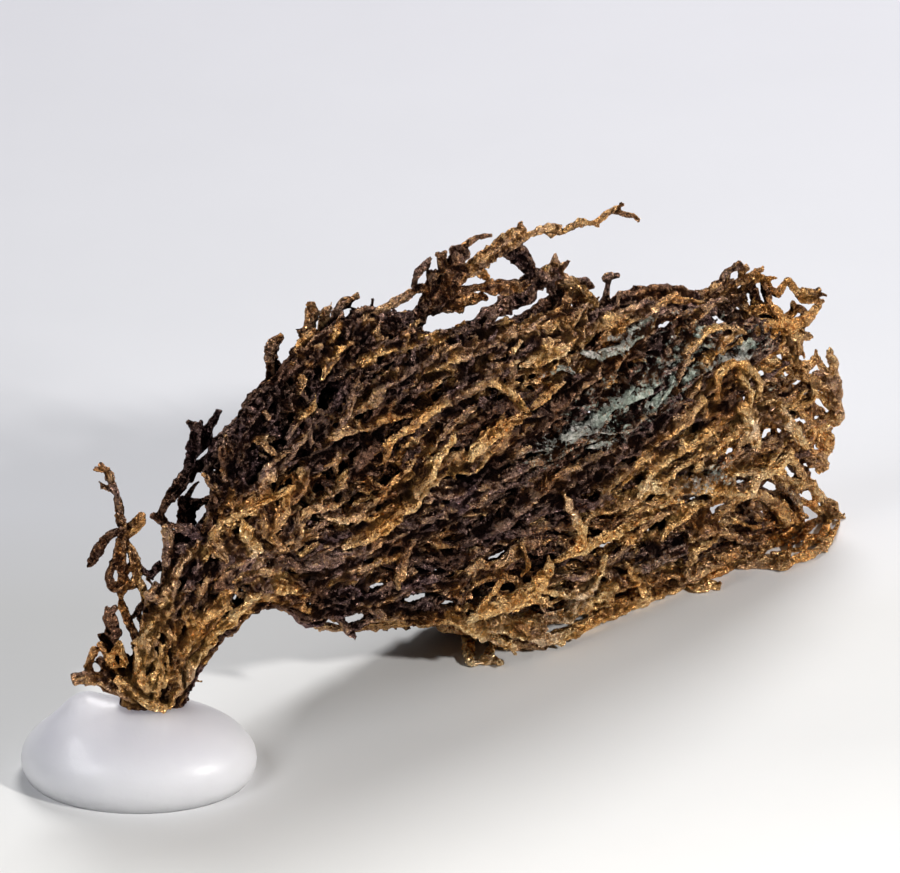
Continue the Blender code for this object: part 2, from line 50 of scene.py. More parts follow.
# The slanted plane that faces the camera: `across` runs right, `up` runs up in it, in millimetres from the
# middle of the foot's base. A picture pixel is a tenth of a millimetre there.
LOOK_DOWN = 30.0
SIN_LOOK = math.sin(math.radians(LOOK_DOWN))
COS_LOOK = math.cos(math.radians(LOOK_DOWN))
AWAY = np.array((0.0, COS_LOOK, -SIN_LOOK))
PICTURE_WIDTH = 900
PICTURE_HEIGHT = 873
PIXELS_PER_MM = 10.0
FOOT_PIXEL = (140.0, 772.0)

# The middle of the foot's base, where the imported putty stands.
foot_low, foot_high = (np.array(corner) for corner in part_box("putty_foot"))
BASE = np.array(((foot_low[0] + foot_high[0]) / 2, (foot_low[1] + foot_high[1]) / 2, 0.0)) / MM

# The fan's mid-sheet and its thickness, as in the solids.
SHEET_SLOPE = 0.70
SHEET_SETBACK = 2.5
SETBACK_LENGTH = 20.0
FLOOR_CLEARANCE = 0.05
RIBS = np.array((
    ((3.8, 5.0), (6.3, 10.4), (12.2, 16.8), (19.5, 15.0),
        (30.0, 14.4), (42.0, 13.6), (56.0, 18.4), (69.8, 25.2)),
    ((3.0, 4.8), (5.5, 11.4), (11.6, 18.0), (19.0, 18.4),
        (29.0, 20.2), (41.0, 23.7), (54.0, 28.2), (69.2, 34.7)),
    ((2.0, 4.7), (4.6, 12.4), (10.9, 19.2), (18.2, 21.2),
        (27.5, 24.7), (38.5, 29.4), (50.5, 35.2), (65.0, 44.2)),
    ((1.0, 4.7), (3.8, 13.2), (10.2, 20.5), (17.0, 24.0),
        (25.2, 28.4), (35.0, 33.4), (45.0, 39.7), (56.0, 47.4)),
    ((0.1, 4.8), (3.0, 14.0), (9.4, 21.9), (15.2, 26.7),
        (22.0, 31.7), (30.0, 36.7), (38.0, 42.0), (46.0, 47.0)),
    ((-0.8, 5.0), (2.3, 14.8), (8.6, 23.4), (13.0, 29.2),
        (18.2, 34.4), (24.0, 38.8), (30.0, 42.2), (36.5, 45.0)),
    ((-1.6, 5.4), (1.7, 15.7), (7.8, 25.0), (10.0, 31.0),
        (13.2, 36.0), (17.2, 40.4), (21.5, 44.0), (26.2, 46.2)),
    ((-2.4, 5.8), (1.2, 16.6), (7.0, 26.8), (6.9, 31.0),
        (8.2, 34.7), (11.2, 38.2), (14.5, 41.7), (18.2, 46.0)),
))
LAST_RIB = len(RIBS) - 1
LAST_STATION = RIBS.shape[1] - 1
# Near the lower rim (ribs under RIM_RIB) strands end at RIM_STATION. In the knob they are short and cross.
RIM_RIB = 0.7
RIM_STATION = 6.5
KNOB_RIB = 2.6
KNOB_STATION = 3.6
TURN_STATION = 4.2
THICK_STATION = 4.6
CORE_LAYER = 0.38
EVEN_STEP = 0.618034
HALF_THICKNESS = (2.2, 3.0, 4.6, 6.4, 7.6, 7.8, 6.6, 4.0)
RIB_THICKNESS = (0.85, 1.0, 1.0, 1.0, 0.95, 0.85, 0.7, 0.45)

# Strands placed one by one: (depth from the sheet, tone, points), a point being (across, up, half width).
ROOT_STRANDS = (
    (-1, 0.4, ((-6.4, 9.3, 0.8), (-5, 9.6, 1), (-3.6, 9.2, 1), (-2.4, 8.4, 0.7))),
    (0, 0.15, ((0.4, 8.6, 0.8), (-1.2, 10.4, 0.9), (-2.2, 12.2, 0.8), (-2.5, 14.4, 0.8),
        (-2.8, 15.8, 0.6), (-2.1, 16.7, 0.35))),
    (0.2, 0.1, ((-3.9, 14.1, 0.35), (-3.4, 13.2, 0.5), (-2.6, 12.4, 0.8), (-1.4, 11, 0.9),
        (0, 9.4, 0.9))),
    (-0.2, 0.14, ((-4, 11.4, 0.6), (-3, 10.6, 0.8), (-1.6, 9.8, 0.9), (0.2, 8.8, 0.9))),
    (-0.8, 0.45, ((2.9, 24.8, 0.5), (3.1, 23, 0.65), (2.9, 21.4, 0.65), (2.9, 19.8, 0.6), (2.6, 18, 0.6),
        (2.5, 16.4, 0.6), (2.7, 14.8, 0.6), (2.4, 13, 0.6))),
    (0.2, 0.12, ((0.9, 16.8, 0.4), (0.7, 15.2, 0.5), (0.6, 13.6, 0.6), (1.2, 12, 0.7))),
    (-0.6, 0.55, ((-4.9, 10.4, 0.5), (-4.7, 11.6, 0.6), (-4.2, 12.6, 0.35))),
    (-0.8, 0.5, ((-3.9, 13, 0.4), (-3, 11.8, 0.5), (-2.4, 10.6, 0.5), (-1.2, 9.4, 0.6))),
    (-1.2, 0.7, ((-2.1, 12.9, 0.3), (-2.6, 11.6, 0.35), (-2.2, 10.6, 0.35))),
    (-1.4, 0.75, ((-1.9, 13.2, 0.3), (-1.5, 11.8, 0.35), (-1.5, 10.6, 0.4))),
    (-1.8, 0.62, ((-2.2, 9.6, 0.6), (-1, 8.8, 0.8), (0.2, 7.8, 0.8))),
    (-1.5, 0.4, ((-2.2, 8.6, 0.6), (-0.6, 7.6, 0.6), (0.8, 7.4, 0.7))),
    (-2.2, 0.7, ((0.4, 11.4, 0.4), (0.3, 10, 0.6), (1, 8.2, 0.7))),
    (-2.2, 0.72, ((1.6, 11.4, 0.4), (1.7, 10, 0.5), (1.4, 8.2, 0.5))),
    (-2.4, 0.8, ((0, 7.4, 0.6), (1.4, 6.9, 0.8), (2.7, 6.3, 0.5))),
    (-1.8, 0.58, ((3.4, 11.6, 0.8), (3.2, 9.8, 1), (3.4, 8.2, 1), (2.8, 6.6, 0.7))),
    (-1.2, 0.5, ((4.2, 10.2, 0.5), (4.2, 8.2, 0.5), (3.8, 6.8, 0.5))),
    (-2, 0.6, ((-0.4, 13.4, 0.6), (0.6, 12.2, 0.7), (1.8, 11.4, 0.6))),
    (-2.2, 0.55, ((2.2, 11.4, 0.5), (2.8, 12.8, 0.5), (3.4, 14.2, 0.6), (3.6, 15.4, 0.5))),
    (-1.6, 0.28, ((4.3, 22.8, 0.9), (4.5, 20.6, 0.9), (4.6, 18.6, 0.9), (4, 16.6, 0.9), (3.2, 15, 0.8),
        (3, 13.6, 0.6))),
    (-2.4, 0.42, ((3.8, 19.2, 0.7), (3.2, 17.2, 0.7), (3.4, 15.6, 0.7), (3.8, 14.4, 0.5))),
    (-2.8, 0.72, ((4.2, 18, 0.3), (4.6, 16.6, 0.6), (5.4, 15.4, 0.8), (6, 14, 0.5))),
    (-2.2, 0.3, ((6, 22.8, 0.7), (5.7, 20.2, 0.8), (6, 18.2, 0.8), (6, 16.2, 0.7), (5.6, 14.6, 0.5))),
    (-2.4, 0.5, ((7.2, 19.2, 0.5), (6.8, 17.2, 0.5), (6.8, 15.6, 0.6), (6.4, 14.2, 0.6), (5.4, 12.8, 0.7),
        (4.4, 11.6, 0.7))),
    (-2.4, 0.6, ((8.4, 20.4, 0.5), (8.6, 18.8, 0.5), (8.2, 17.2, 0.5), (7.4, 15.8, 0.5))),
    (-1, 0.6, ((10.2, 16, 0.6), (8.6, 14.8, 0.7), (7.2, 13.2, 0.8), (6, 12, 0.9), (4.6, 11.2, 0.7))),
    (-1.4, 0.62, ((7.8, 13.4, 0.5), (6.8, 11.8, 0.6), (5.6, 10.9, 0.4))),
    (-0.8, 0.45, ((10.6, 17.2, 0.6), (10.1, 15.9, 0.7), (9.4, 14.6, 0.6), (8.8, 14.2, 0.4))),
    (-1.6, 0.45, ((8.6, 19, 0.3), (10, 18.4, 0.25), (9.8, 17.2, 0.3), (9.2, 16.4, 0.3),
        (8.2, 15.4, 0.4))),
    (-0.8, 0.5, ((1.9, 19, 0.4), (1.3, 18, 0.4), (1.2, 17, 0.5), (1.9, 15.6, 0.5), (2.2, 14, 0.5))),
    (-1, 0.6, ((0.4, 15.2, 0.5), (1.2, 14.2, 0.5), (0.9, 12.8, 0.6))),
)
SPRIG_STRANDS = (
    (0, 0.5, ((0.8, 11.2, 0.7), (0, 13.2, 0.7), (-0.9, 15.1, 0.6), (-1.6, 17.2, 0.5), (-1.4, 18.7, 0.55),
        (-1.5, 20.2, 0.6), (-1.8, 22.2, 0.85), (-1.4, 23.7, 0.65), (-1.5, 24.7, 0.55))),
    (0.3, 0.42, ((-1.5, 24.2, 0.5), (-1.8, 26.7, 0.42), (-2.2, 28.2, 0.4), (-2.8, 29.7, 0.42),
        (-3.7, 30.9, 0.25))),
    (-0.4, 0.3, ((-1.5, 24.3, 0.5), (-2.8, 23.7, 0.5), (-3.7, 22.6, 0.7), (-4.6, 21.1, 0.55))),
    (0.4, 0.6, ((-1.3, 23.4, 0.6), (-0.5, 24.4, 0.7), (0.2, 25.2, 0.55), (0.6, 26, 0.4))),
    (0.3, 0.5, ((-2.2, 28.3, 0.35), (-3.2, 28.5, 0.25), (-3.7, 28.5, 0.22))),
    (-0.3, 0.4, ((-1.8, 21.8, 0.5), (-2.8, 19.9, 0.5), (-2.4, 18.7, 0.55), (-1.5, 18.5, 0.5))),
    (0.3, 0.6, ((-1, 23.1, 0.5), (-0.4, 21.4, 0.5), (-1.3, 20, 0.5))),
    (0.4, 0.55, ((-1.5, 18.8, 0.4), (-0.7, 18.5, 0.35), (-0.3, 19.4, 0.35), (0, 21.4, 0.4))),
    (0.6, 0.6, ((0, 21.6, 0.3), (0, 19.8, 0.5), (0.7, 17.7, 0.42), (1, 15.7, 0.4), (1.3, 14, 0.45),
        (1.2, 12.4, 0.5), (0.8, 11.4, 0.5))),
    (0.7, 0.1, ((0, 20.8, 0.4), (1.2, 19.8, 0.5), (2, 20.6, 0.5), (2.8, 20.4, 0.45))),
    (0.7, 0.1, ((0.8, 17.4, 0.3), (0.1, 16.2, 0.35), (0.4, 15, 0.35), (1.2, 14.2, 0.4))),
)
OUTER_STRANDS = (
    (1.8, 0.22, ((4, 20.4, 0.7), (3.9, 21.8, 0.8), (3.5, 23.2, 0.65), (3.1, 24.2, 0.6), (2.6, 25, 0.5),
        (2.3, 25.9, 0.4), (2.7, 26.8, 0.5), (3.4, 27.7, 0.8), (4.1, 28.6, 0.95), (4.7, 29.6, 0.8),
        (5.1, 30.6, 0.7), (5.5, 31.8, 0.85), (5.9, 33, 1.05), (5.9, 34, 0.9), (5.6, 34.8, 0.45))),
    (1.8, 0.1, ((6.2, 32.6, 0.8), (6.6, 33.8, 0.8), (7.1, 34.4, 0.65), (7.4, 34.9, 0.5), (7.8, 35.6, 0.4),
        (8.1, 36.2, 0.3))),
    (2, 0.12, ((4.9, 29.2, 0.5), (5.8, 30.4, 0.5), (6.6, 31.2, 0.5), (7.6, 31.8, 0.6))),
    (2.1, 0.05, ((4.6, 27.2, 0.4), (5.2, 28, 0.35), (5.7, 28.7, 0.3), (6.1, 29.1, 0.2))),
    (2.1, 0.04, ((4.2, 27.1, 0.5), (5.2, 26.8, 0.9), (6.2, 27.1, 0.5), (7.6, 27.4, 0.5))),
    (2.1, 0.04, ((4.8, 27.4, 0.8), (4.8, 26.2, 1), (4.8, 25, 1.1), (4.6, 23.4, 1), (4.6, 21.4, 0.9))),
    (2.1, 0.04, ((7, 27.2, 0.5), (7.1, 25.6, 0.45), (6.6, 24.4, 0.6), (5.6, 23.6, 0.7))),
    (1.8, 0.2, ((1.4, 25.8, 0.28), (1.9, 25.4, 0.35), (2.5, 25.1, 0.4))),
)
SPRAY_STRANDS = (
    (-0.8, 0.35, ((27.4, 44.6, 0.9), (28.6, 46.4, 1), (30, 47.8, 1.3), (31.2, 50, 1.5), (31.7, 51.3, 1.1),
        (32.3, 52.5, 0.6))),
    (-0.6, 0.45, ((32.2, 52.4, 0.5), (33.4, 53.2, 0.35), (34.4, 53.5, 0.35), (35.2, 53.6, 0.22))),
    (-0.6, 0.4, ((30.4, 50, 0.8), (30.2, 51.4, 0.5), (30.6, 52, 0.25))),
    (-0.5, 0.4, ((28.8, 47.4, 0.6), (29.1, 48.8, 0.8), (29.3, 50, 0.7))),
    (-0.4, 0.3, ((29.6, 48.2, 0.4), (28.2, 48.4, 0.4), (27.4, 48.5, 0.4), (27.7, 49.6, 0.5),
        (28.5, 50.5, 0.5), (28.9, 50.9, 0.3))),
    (-0.3, 0.6, ((29.6, 48, 0.5), (28.2, 48.3, 0.4), (26.8, 47.7, 0.4), (25.6, 47, 0.4))),
    (-1.2, 0.62, ((30.8, 48.4, 0.9), (33, 50.2, 0.8), (34, 51, 0.9), (35.2, 51.9, 0.9), (36.6, 52.8, 1),
        (37.6, 53.6, 0.8), (38.4, 54.4, 0.5))),
    (-1.2, 0.66, ((33.2, 50.4, 0.6), (34.4, 49.7, 0.5), (34.8, 49.2, 0.35))),
    (-1.2, 0.72, ((37.4, 53.1, 0.5), (38.6, 53.5, 0.4), (39.2, 53.8, 0.28), (40, 54.1, 0.5),
        (40.9, 54.2, 0.75), (41.6, 54.1, 0.6), (42.2, 54, 0.28), (43, 54.4, 0.36), (43.9, 54.9, 0.44),
        (45.2, 54.9, 0.28), (46, 55.2, 0.36), (46.8, 55.9, 0.34), (47.6, 56.4, 0.32),
        (48.4, 56.8, 0.25))),
    (-1.2, 0.5, ((47, 56.1, 0.32), (48.4, 55.8, 0.3), (49.5, 55.6, 0.25))),
    (-1.4, 0.15, ((36.4, 52.2, 0.6), (37.4, 51.4, 0.6), (38.4, 50.4, 0.6), (39.1, 49.6, 0.45))),
    (-1.4, 0.4, ((37.6, 53, 0.4), (38.5, 51.8, 0.5), (39.1, 50.6, 0.5), (39.3, 49.4, 0.4))),
    (-0.9, 0.55, ((28.6, 46.6, 1), (30.6, 46.9, 1.2), (32.8, 47.2, 0.9), (34.4, 47.6, 0.55))),
    (-1.4, 0.5, ((30.4, 47.8, 0.9), (32.4, 48.2, 0.45), (34, 48.4, 0.5), (35.6, 48.5, 0.9),
        (36.8, 48.5, 1), (37.8, 48.6, 0.8), (38.8, 49.1, 0.5), (39.3, 49.3, 0.4))),
)
TIP_STRANDS = (
    (0.8, 0.45, ((55.4, 46.2, 0.8), (56.6, 47.4, 0.6), (57.6, 48.4, 0.7), (58.5, 49.1, 0.5),
        (58.7, 49.8, 0.5), (59.4, 50.4, 0.45), (60.2, 50.9, 0.45))),
    (0.8, 0.6, ((56.8, 46.8, 0.7), (58.4, 48.2, 0.6), (59.6, 48.9, 0.55), (60.8, 49.2, 0.5))),
    (0.7, 0.5, ((57.4, 46.8, 0.6), (59, 47.7, 0.5), (60, 48, 0.3))),
    (0.8, 0.66, ((60, 51.1, 0.4), (60.3, 50.4, 0.4), (60.4, 49.6, 0.45), (60.8, 48.7, 0.6))),
    (0.8, 0.6, ((60.3, 50.2, 0.3), (61, 50.7, 0.3))),
    (1, 0.66, ((60.6, 49.2, 0.5), (61.6, 49.6, 0.6), (62.4, 49.4, 0.5), (62.9, 49.1, 0.4),
        (63.4, 48.4, 0.4), (64, 47.9, 0.45), (64.5, 48.6, 0.4), (65, 49.3, 0.4), (65.5, 48.9, 0.5),
        (66, 48.2, 0.5), (66.8, 48, 0.5), (67.8, 48, 0.45), (68.7, 47.9, 0.25))),
    (1, 0.62, ((61.2, 49.7, 0.4), (62, 50.2, 0.4), (62.6, 50.4, 0.25))),
    (1, 0.75, ((62.3, 49.3, 0.4), (63.2, 49.5, 0.35), (63.8, 49.6, 0.3))),
    (1, 0.6, ((67.9, 48, 0.4), (68.4, 48.5, 0.3))),
    (1, 0.62, ((65.9, 48, 0.4), (66.4, 47.4, 0.42), (67.4, 47.4, 0.42), (68.2, 47.2, 0.4),
        (68.1, 46.5, 0.4), (67.6, 45.8, 0.5), (66.8, 45.2, 0.6), (65.8, 44.8, 0.7), (64.8, 44.8, 0.7),
        (63.8, 44.9, 0.8))),
    (0.8, 0.6, ((65.6, 47.2, 0.4), (65.6, 46.2, 0.5), (65, 45.4, 0.6))),
    (0.6, 0.35, ((66, 46.6, 0.5), (66.8, 46, 0.5), (66.4, 45.3, 0.5))),
    (0.6, 0.3, ((62.5, 49, 0.4), (62.8, 48, 0.5), (63, 47, 0.6), (62.6, 46, 0.6))),
    (0.6, 0.3, ((60.9, 49, 0.6), (61.6, 48, 0.7), (61.8, 46.8, 0.7), (61.4, 45.6, 0.7))),
    (0.4, 0.4, ((58, 46, 0.8), (59.4, 47, 0.8), (60.6, 48, 0.8))),
    (0.2, 0.35, ((58.2, 46, 0.8), (59.6, 45.8, 0.8), (61, 45.2, 0.8), (63, 45, 0.8))),
    (-0.4, 0.68, ((61.4, 46.6, 0.7), (63, 46.4, 0.7), (64, 45.4, 0.6), (64.6, 44.2, 0.6))),
    (-0.4, 0.6, ((60.4, 47, 0.6), (61.2, 45.8, 0.6), (61, 44.8, 0.6))),
    (0.2, 0.62, ((64.4, 44.9, 0.6), (66, 44.4, 0.5), (66.8, 43.8, 0.5), (67.3, 43.6, 0.4))),
)
UPPER_STRANDS = (
    (0.6, 0.08, ((28, 40.6, 1), (31.4, 43.4, 0.7), (34, 45.2, 0.8), (36, 46.4, 1), (38, 47.5, 1.1),
        (39.4, 48.8, 1), (40.6, 49.6, 1.1), (41.6, 50.2, 0.9))),
    (0.6, 0.12, ((39.2, 48.6, 0.7), (39.8, 50.2, 0.5))),
    (0.4, 0.78, ((40.7, 49.6, 0.7), (40.8, 50.6, 0.5))),
    (0.8, 0.62, ((41.3, 49, 0.7), (41.4, 50.8, 0.5), (41.6, 51.8, 0.3))),
    (0.8, 0.62, ((41.6, 49.6, 0.6), (42.4, 50.7, 0.45))),
    (1, 0.06, ((41.6, 50.2, 0.8), (41.3, 48.8, 0.7), (41.7, 47.2, 0.9), (41, 45.4, 1.1),
        (39.6, 43, 1.1))),
    (0.4, 0.72, ((41.5, 49.6, 0.6), (43.4, 48.8, 0.8), (44.6, 47.6, 0.7), (45.4, 46.6, 0.6),
        (45.4, 45, 0.6))),
    (0.6, 0.45, ((41.6, 49.4, 0.5), (42.8, 48.2, 0.8), (43.6, 47, 0.7), (44.2, 45.6, 0.7))),
    (1, 0.15, ((43.4, 49, 0.5), (44.8, 49, 0.4), (45.2, 48.5, 0.3))),
    (1.2, 0.08, ((30, 40.6, 1), (34, 43.2, 0.9), (37, 44.3, 0.9), (39, 45.4, 0.9), (40.6, 46.6, 0.9),
        (42, 47.2, 0.9))),
    (1, 0.3, ((46.4, 45, 0.8), (46.7, 46.4, 0.6), (46.6, 47.6, 0.45), (46.9, 49.2, 0.4))),
    (1, 0.4, ((46.3, 49.3, 0.4), (47, 49.6, 0.5), (48, 49.7, 0.3))),
    (1.2, 0.36, ((42, 43.6, 1), (45, 45.8, 0.8), (47.6, 46.9, 0.8), (49.4, 47.8, 0.8), (51, 48.2, 0.7),
        (52.6, 48.4, 0.6), (54.6, 48.4, 0.35))),
    (0.8, 0.62, ((47, 45.8, 0.9), (49, 46.8, 0.8), (52, 47.6, 0.7), (54.6, 47.8, 0.5), (56.4, 48, 0.4))),
    (0.2, 0.3, ((42, 42.6, 1), (44.6, 45, 1), (48.4, 46.2, 1), (52, 46.9, 1), (56, 47.2, 0.8))),
    (-0.8, 0.3, ((40, 41.4, 1), (43, 44, 1), (46.4, 45.2, 1), (50, 45.6, 1), (54, 46.2, 0.9),
        (57.6, 46.4, 0.7))),
)
CROWN_STRANDS = (
    (0.5, 0.42, ((13.9, 38.4, 1), (13.5, 40.2, 1), (13.2, 41.6, 0.8), (13.5, 42.7, 0.7),
        (14.1, 43.4, 0.5), (14.4, 43.8, 0.3))),
    (0.2, 0.62, ((16.9, 40.6, 1), (17, 44.2, 0.8), (17.4, 46.1, 0.75))),
    (0.1, 0.74, ((18.2, 42, 0.8), (18.5, 45.4, 0.5), (19.2, 46.5, 0.35))),
    (0.2, 0.52, ((18.8, 42, 0.8), (19.2, 44.6, 0.7), (20, 46.3, 0.5), (21, 47.1, 0.5),
        (22.1, 47.6, 0.35))),
    (0.4, 0.36, ((22.4, 43.6, 0.7), (23.2, 46, 0.4), (23.3, 47.3, 0.3))),
    (-0.2, 0.5, ((20.4, 42.4, 0.8), (21.8, 44.4, 0.8), (23.6, 45.6, 0.8), (25.2, 46.7, 0.6),
        (27, 47.6, 0.45), (28.4, 48.4, 0.4))),
    (-0.6, 0.76, ((22.6, 43, 0.6), (24.6, 44.8, 0.6), (26.2, 45.6, 0.4))),
    (0.2, 0.15, ((22.6, 41, 0.9), (24.4, 42.8, 0.9), (26, 44.2, 0.9), (27.4, 45.2, 0.8),
        (28.4, 46.4, 0.8))),
    (0.6, 0.3, ((6.9, 29.6, 0.7), (7.6, 32.2, 0.8), (9.2, 34, 0.8), (10.8, 35.8, 0.8), (11.3, 37.3, 0.7),
        (12.6, 38.4, 0.8), (14.2, 39.4, 0.8))),
    (0.4, 0.4, ((13.4, 38, 0.9), (15.2, 40.2, 0.9), (16.2, 42.4, 0.8), (16.8, 44, 0.7))),
)
MIDDLE_STRANDS = (
    (-0.6, 0.7, ((58.4, 43.2, 0.8), (60.5, 44.2, 0.7), (62, 44.7, 0.8), (64, 44.6, 0.8), (66, 44, 0.6))),
    (-0.8, 0.62, ((60.4, 41.4, 0.7), (62, 41.4, 0.6), (63.5, 42.2, 0.6), (64.8, 43.4, 0.6))),
    (0.6, 0.55, ((60, 42.4, 1), (62.6, 43.4, 1), (64.4, 43.8, 0.9), (65.4, 42.6, 0.7),
        (65.8, 41.4, 0.6))),
    (0.2, 0.55, ((64, 43.4, 0.6), (65, 41.8, 0.5), (66.2, 40.8, 0.6), (67.4, 40.8, 0.5),
        (68, 41.6, 0.45))),
    (0, 0.68, ((61, 40.4, 0.8), (63.4, 41, 0.6), (65, 40.6, 0.6), (66.4, 39.7, 0.6), (68.2, 38.8, 0.7),
        (69.4, 38.6, 0.8))),
    (0.3, 0.5, ((67.6, 39.6, 0.8), (68.8, 39.6, 0.8), (69.6, 38.8, 0.9), (69.4, 37.6, 0.8),
        (69.9, 36.4, 0.7))),
    (0.5, 0.58, ((69.1, 41.9, 0.45), (69.8, 41.2, 0.55), (69.9, 40.2, 0.4), (70.2, 39.2, 0.5),
        (70.3, 38.2, 0.6), (70.2, 37, 0.5), (70.4, 35.8, 0.6), (70, 34.9, 0.6))),
    (-0.3, 0.72, ((63.6, 40.6, 0.5), (64.3, 39.8, 0.5), (64.1, 38.6, 0.5), (64.4, 37.5, 0.5),
        (65.2, 37, 0.6), (66.2, 36.6, 0.6), (66.8, 35.7, 0.5))),
    (0.2, 0.3, ((64.8, 37.4, 0.5), (66.6, 38.5, 0.6), (67.8, 38.9, 0.5))),
    (0.6, 0.5, ((67.6, 38.9, 0.6), (67.4, 37.2, 0.6), (67.4, 35.8, 0.45), (67.6, 34.4, 0.5),
        (67.7, 33.2, 0.4), (67.2, 32, 0.5))),
    (0.6, 0.66, ((70.2, 35.4, 0.6), (69.2, 35.5, 0.7), (68.3, 34.8, 0.6), (68.2, 33.8, 0.5),
        (68.8, 33.1, 0.6), (69.3, 32.5, 0.5), (68.9, 31.6, 0.45), (68.8, 30.8, 0.45), (68.2, 29.9, 0.4))),
    (0.6, 0.62, ((69.3, 32.6, 0.4), (69.5, 33.4, 0.45), (69.2, 34.2, 0.3))),
    (-0.8, 0.84, ((63, 37.6, 0.5), (64, 36.8, 0.6), (64.9, 35.2, 0.8), (65.6, 33.8, 0.95),
        (66.6, 32.6, 0.6))),
    (0.8, 0.4, ((60, 38.6, 1), (62.6, 38.6, 1), (64.6, 38.8, 0.7), (66.6, 37.4, 0.7), (68.4, 36, 0.7))),
    (0.8, 0.3, ((59, 35.6, 1), (62, 36, 1), (64.6, 36, 0.9), (66.6, 36.6, 0.6))),
)
LOWER_STRANDS = (
    (0.2, 0.4, ((63, 33, 1), (65.4, 32.8, 0.8), (66.9, 31.6, 0.7), (67.8, 31, 0.6), (68.8, 31.1, 0.5))),
    (0.6, 0.35, ((62.4, 32.6, 0.9), (64.6, 31.8, 0.8), (66.3, 30.3, 0.8), (66.6, 29.2, 0.7),
        (66.2, 28.2, 0.6))),
    (0.8, 0.1, ((60, 33, 1), (62.6, 31.6, 1), (64.4, 29.6, 0.8), (65.8, 28.6, 0.7))),
    (-0.4, 0.5, ((58.6, 30.4, 0.5), (60.2, 30.3, 0.45), (61.4, 30.2, 0.4), (62.6, 29.8, 0.4),
        (64, 29, 0.5), (65.2, 28.2, 0.6), (66.2, 27.2, 0.6))),
    (0.2, 0.35, ((61.5, 30.2, 0.5), (61.6, 29.3, 0.6), (62.2, 28.9, 0.7), (61.6, 28.4, 0.6))),
    (0, 0.35, ((58.4, 28, 0.6), (60.4, 28.3, 0.5), (62, 28.2, 0.5), (63.5, 27.8, 0.4), (64.6, 27.2, 0.5),
        (65.4, 26.4, 0.5), (66.2, 25.4, 0.4), (66.6, 24.9, 0.4), (66.4, 24, 0.5))),
    (0, 0.74, ((65.4, 27.8, 0.5), (66.8, 28.7, 0.7), (67.8, 28.7, 0.6), (68.1, 27.9, 0.6),
        (68.8, 27.3, 0.5))),
    (0.2, 0.62, ((65.2, 27.6, 0.6), (67.2, 26.7, 0.5), (68.3, 26, 0.45), (69.4, 25.9, 0.5),
        (70.2, 25.6, 0.4), (70.8, 25.4, 0.22))),
    (0.2, 0.62, ((68.8, 27.4, 0.4), (69, 26.6, 0.4), (69.2, 25.8, 0.4))),
    (0.2, 0.6, ((69.7, 25.8, 0.4), (69.9, 26.9, 0.3))),
    (-0.6, 0.84, ((63.2, 27.6, 0.5), (64, 26.6, 0.6), (64.7, 25.7, 0.75), (64.8, 24.8, 0.6))),
    (0.4, 0.3, ((56, 28.6, 1), (60, 27.4, 1), (63, 26.6, 0.9), (65, 25, 0.7))),
    (0.6, 0.4, ((58, 26, 1), (61, 25.4, 1), (64, 24.4, 0.9), (66, 24.2, 0.6))),
)
EDGE_STRANDS = (
    (0, 0.6, ((12.6, 17.4, 0.8), (14.6, 16.6, 0.6), (16.5, 15.3, 0.5), (19.4, 14.4, 0.5),
        (22.8, 14.6, 0.5), (26, 14.9, 0.6), (28.9, 15, 0.7), (32.1, 14.2, 0.8), (34.5, 13.8, 0.9),
        (37.8, 12.9, 0.9), (40.5, 13, 0.8))),
    (0, 0.7, ((35.4, 13.6, 0.8), (40.5, 13.1, 0.8), (45.1, 14.9, 0.8), (50, 16.9, 0.7), (55.2, 19, 0.7),
        (58, 19.8, 0.6), (60.2, 21, 0.6), (63.5, 20.9, 0.7), (65.4, 21.7, 0.5))),
    (0.2, 0.62, ((63.4, 21.5, 0.4), (65, 21.9, 0.28), (66.3, 22.2, 0.25), (67.2, 22.6, 0.25),
        (67.9, 23, 0.25), (68.5, 23.7, 0.25), (69, 24.4, 0.25), (69.5, 25.1, 0.25), (70.1, 25.6, 0.25),
        (70.8, 25.4, 0.2))),
    (-0.6, 0.42, ((62.6, 23.6, 0.6), (64.6, 23.7, 0.5), (65.8, 23.9, 0.45), (66.7, 24.2, 0.5),
        (67.5, 24.6, 0.5), (68.3, 25.2, 0.35))),
    (0.2, 0.5, ((63, 22.6, 0.5), (64.6, 22.8, 0.35), (65.8, 22.9, 0.25), (66.8, 23.2, 0.25),
        (67.6, 23.5, 0.25), (68.4, 23.6, 0.25))),
    (-0.2, 0.8, ((56, 19.4, 0.5), (56.8, 18.8, 0.6), (57.6, 18.6, 0.5), (58.2, 18.2, 0.3))),
    (-0.2, 0.78, ((55, 18.8, 0.5), (56.2, 18.2, 0.5), (57.2, 17.9, 0.3))),
    (-0.8, 0.3, ((56.6, 23.2, 0.6), (58.2, 24, 0.7), (59.8, 24.8, 0.7), (61.6, 25.2, 0.5))),
    (-0.6, 0.66, ((60, 20.9, 0.5), (62, 21.9, 0.6), (63.8, 22.9, 0.6), (65.4, 23.7, 0.5),
        (66.6, 24.7, 0.4))),
    (-0.8, 0.36, ((58.4, 21.8, 0.5), (60.4, 22.8, 0.6), (62.4, 23.9, 0.6), (64, 24.7, 0.4))),
    (0, 0.78, ((33.4, 14.6, 0.9), (32.9, 13.2, 0.8), (32.9, 12, 0.6), (33, 11, 0.5), (33.8, 10.8, 0.5),
        (34.6, 11.4, 0.5), (35.2, 12.4, 0.5), (35.8, 13.4, 0.6))),
    (0, 0.8, ((34.2, 11.2, 0.5), (35.2, 11.2, 0.5), (35.9, 10.9, 0.45), (36.4, 10.9, 0.25))),
)
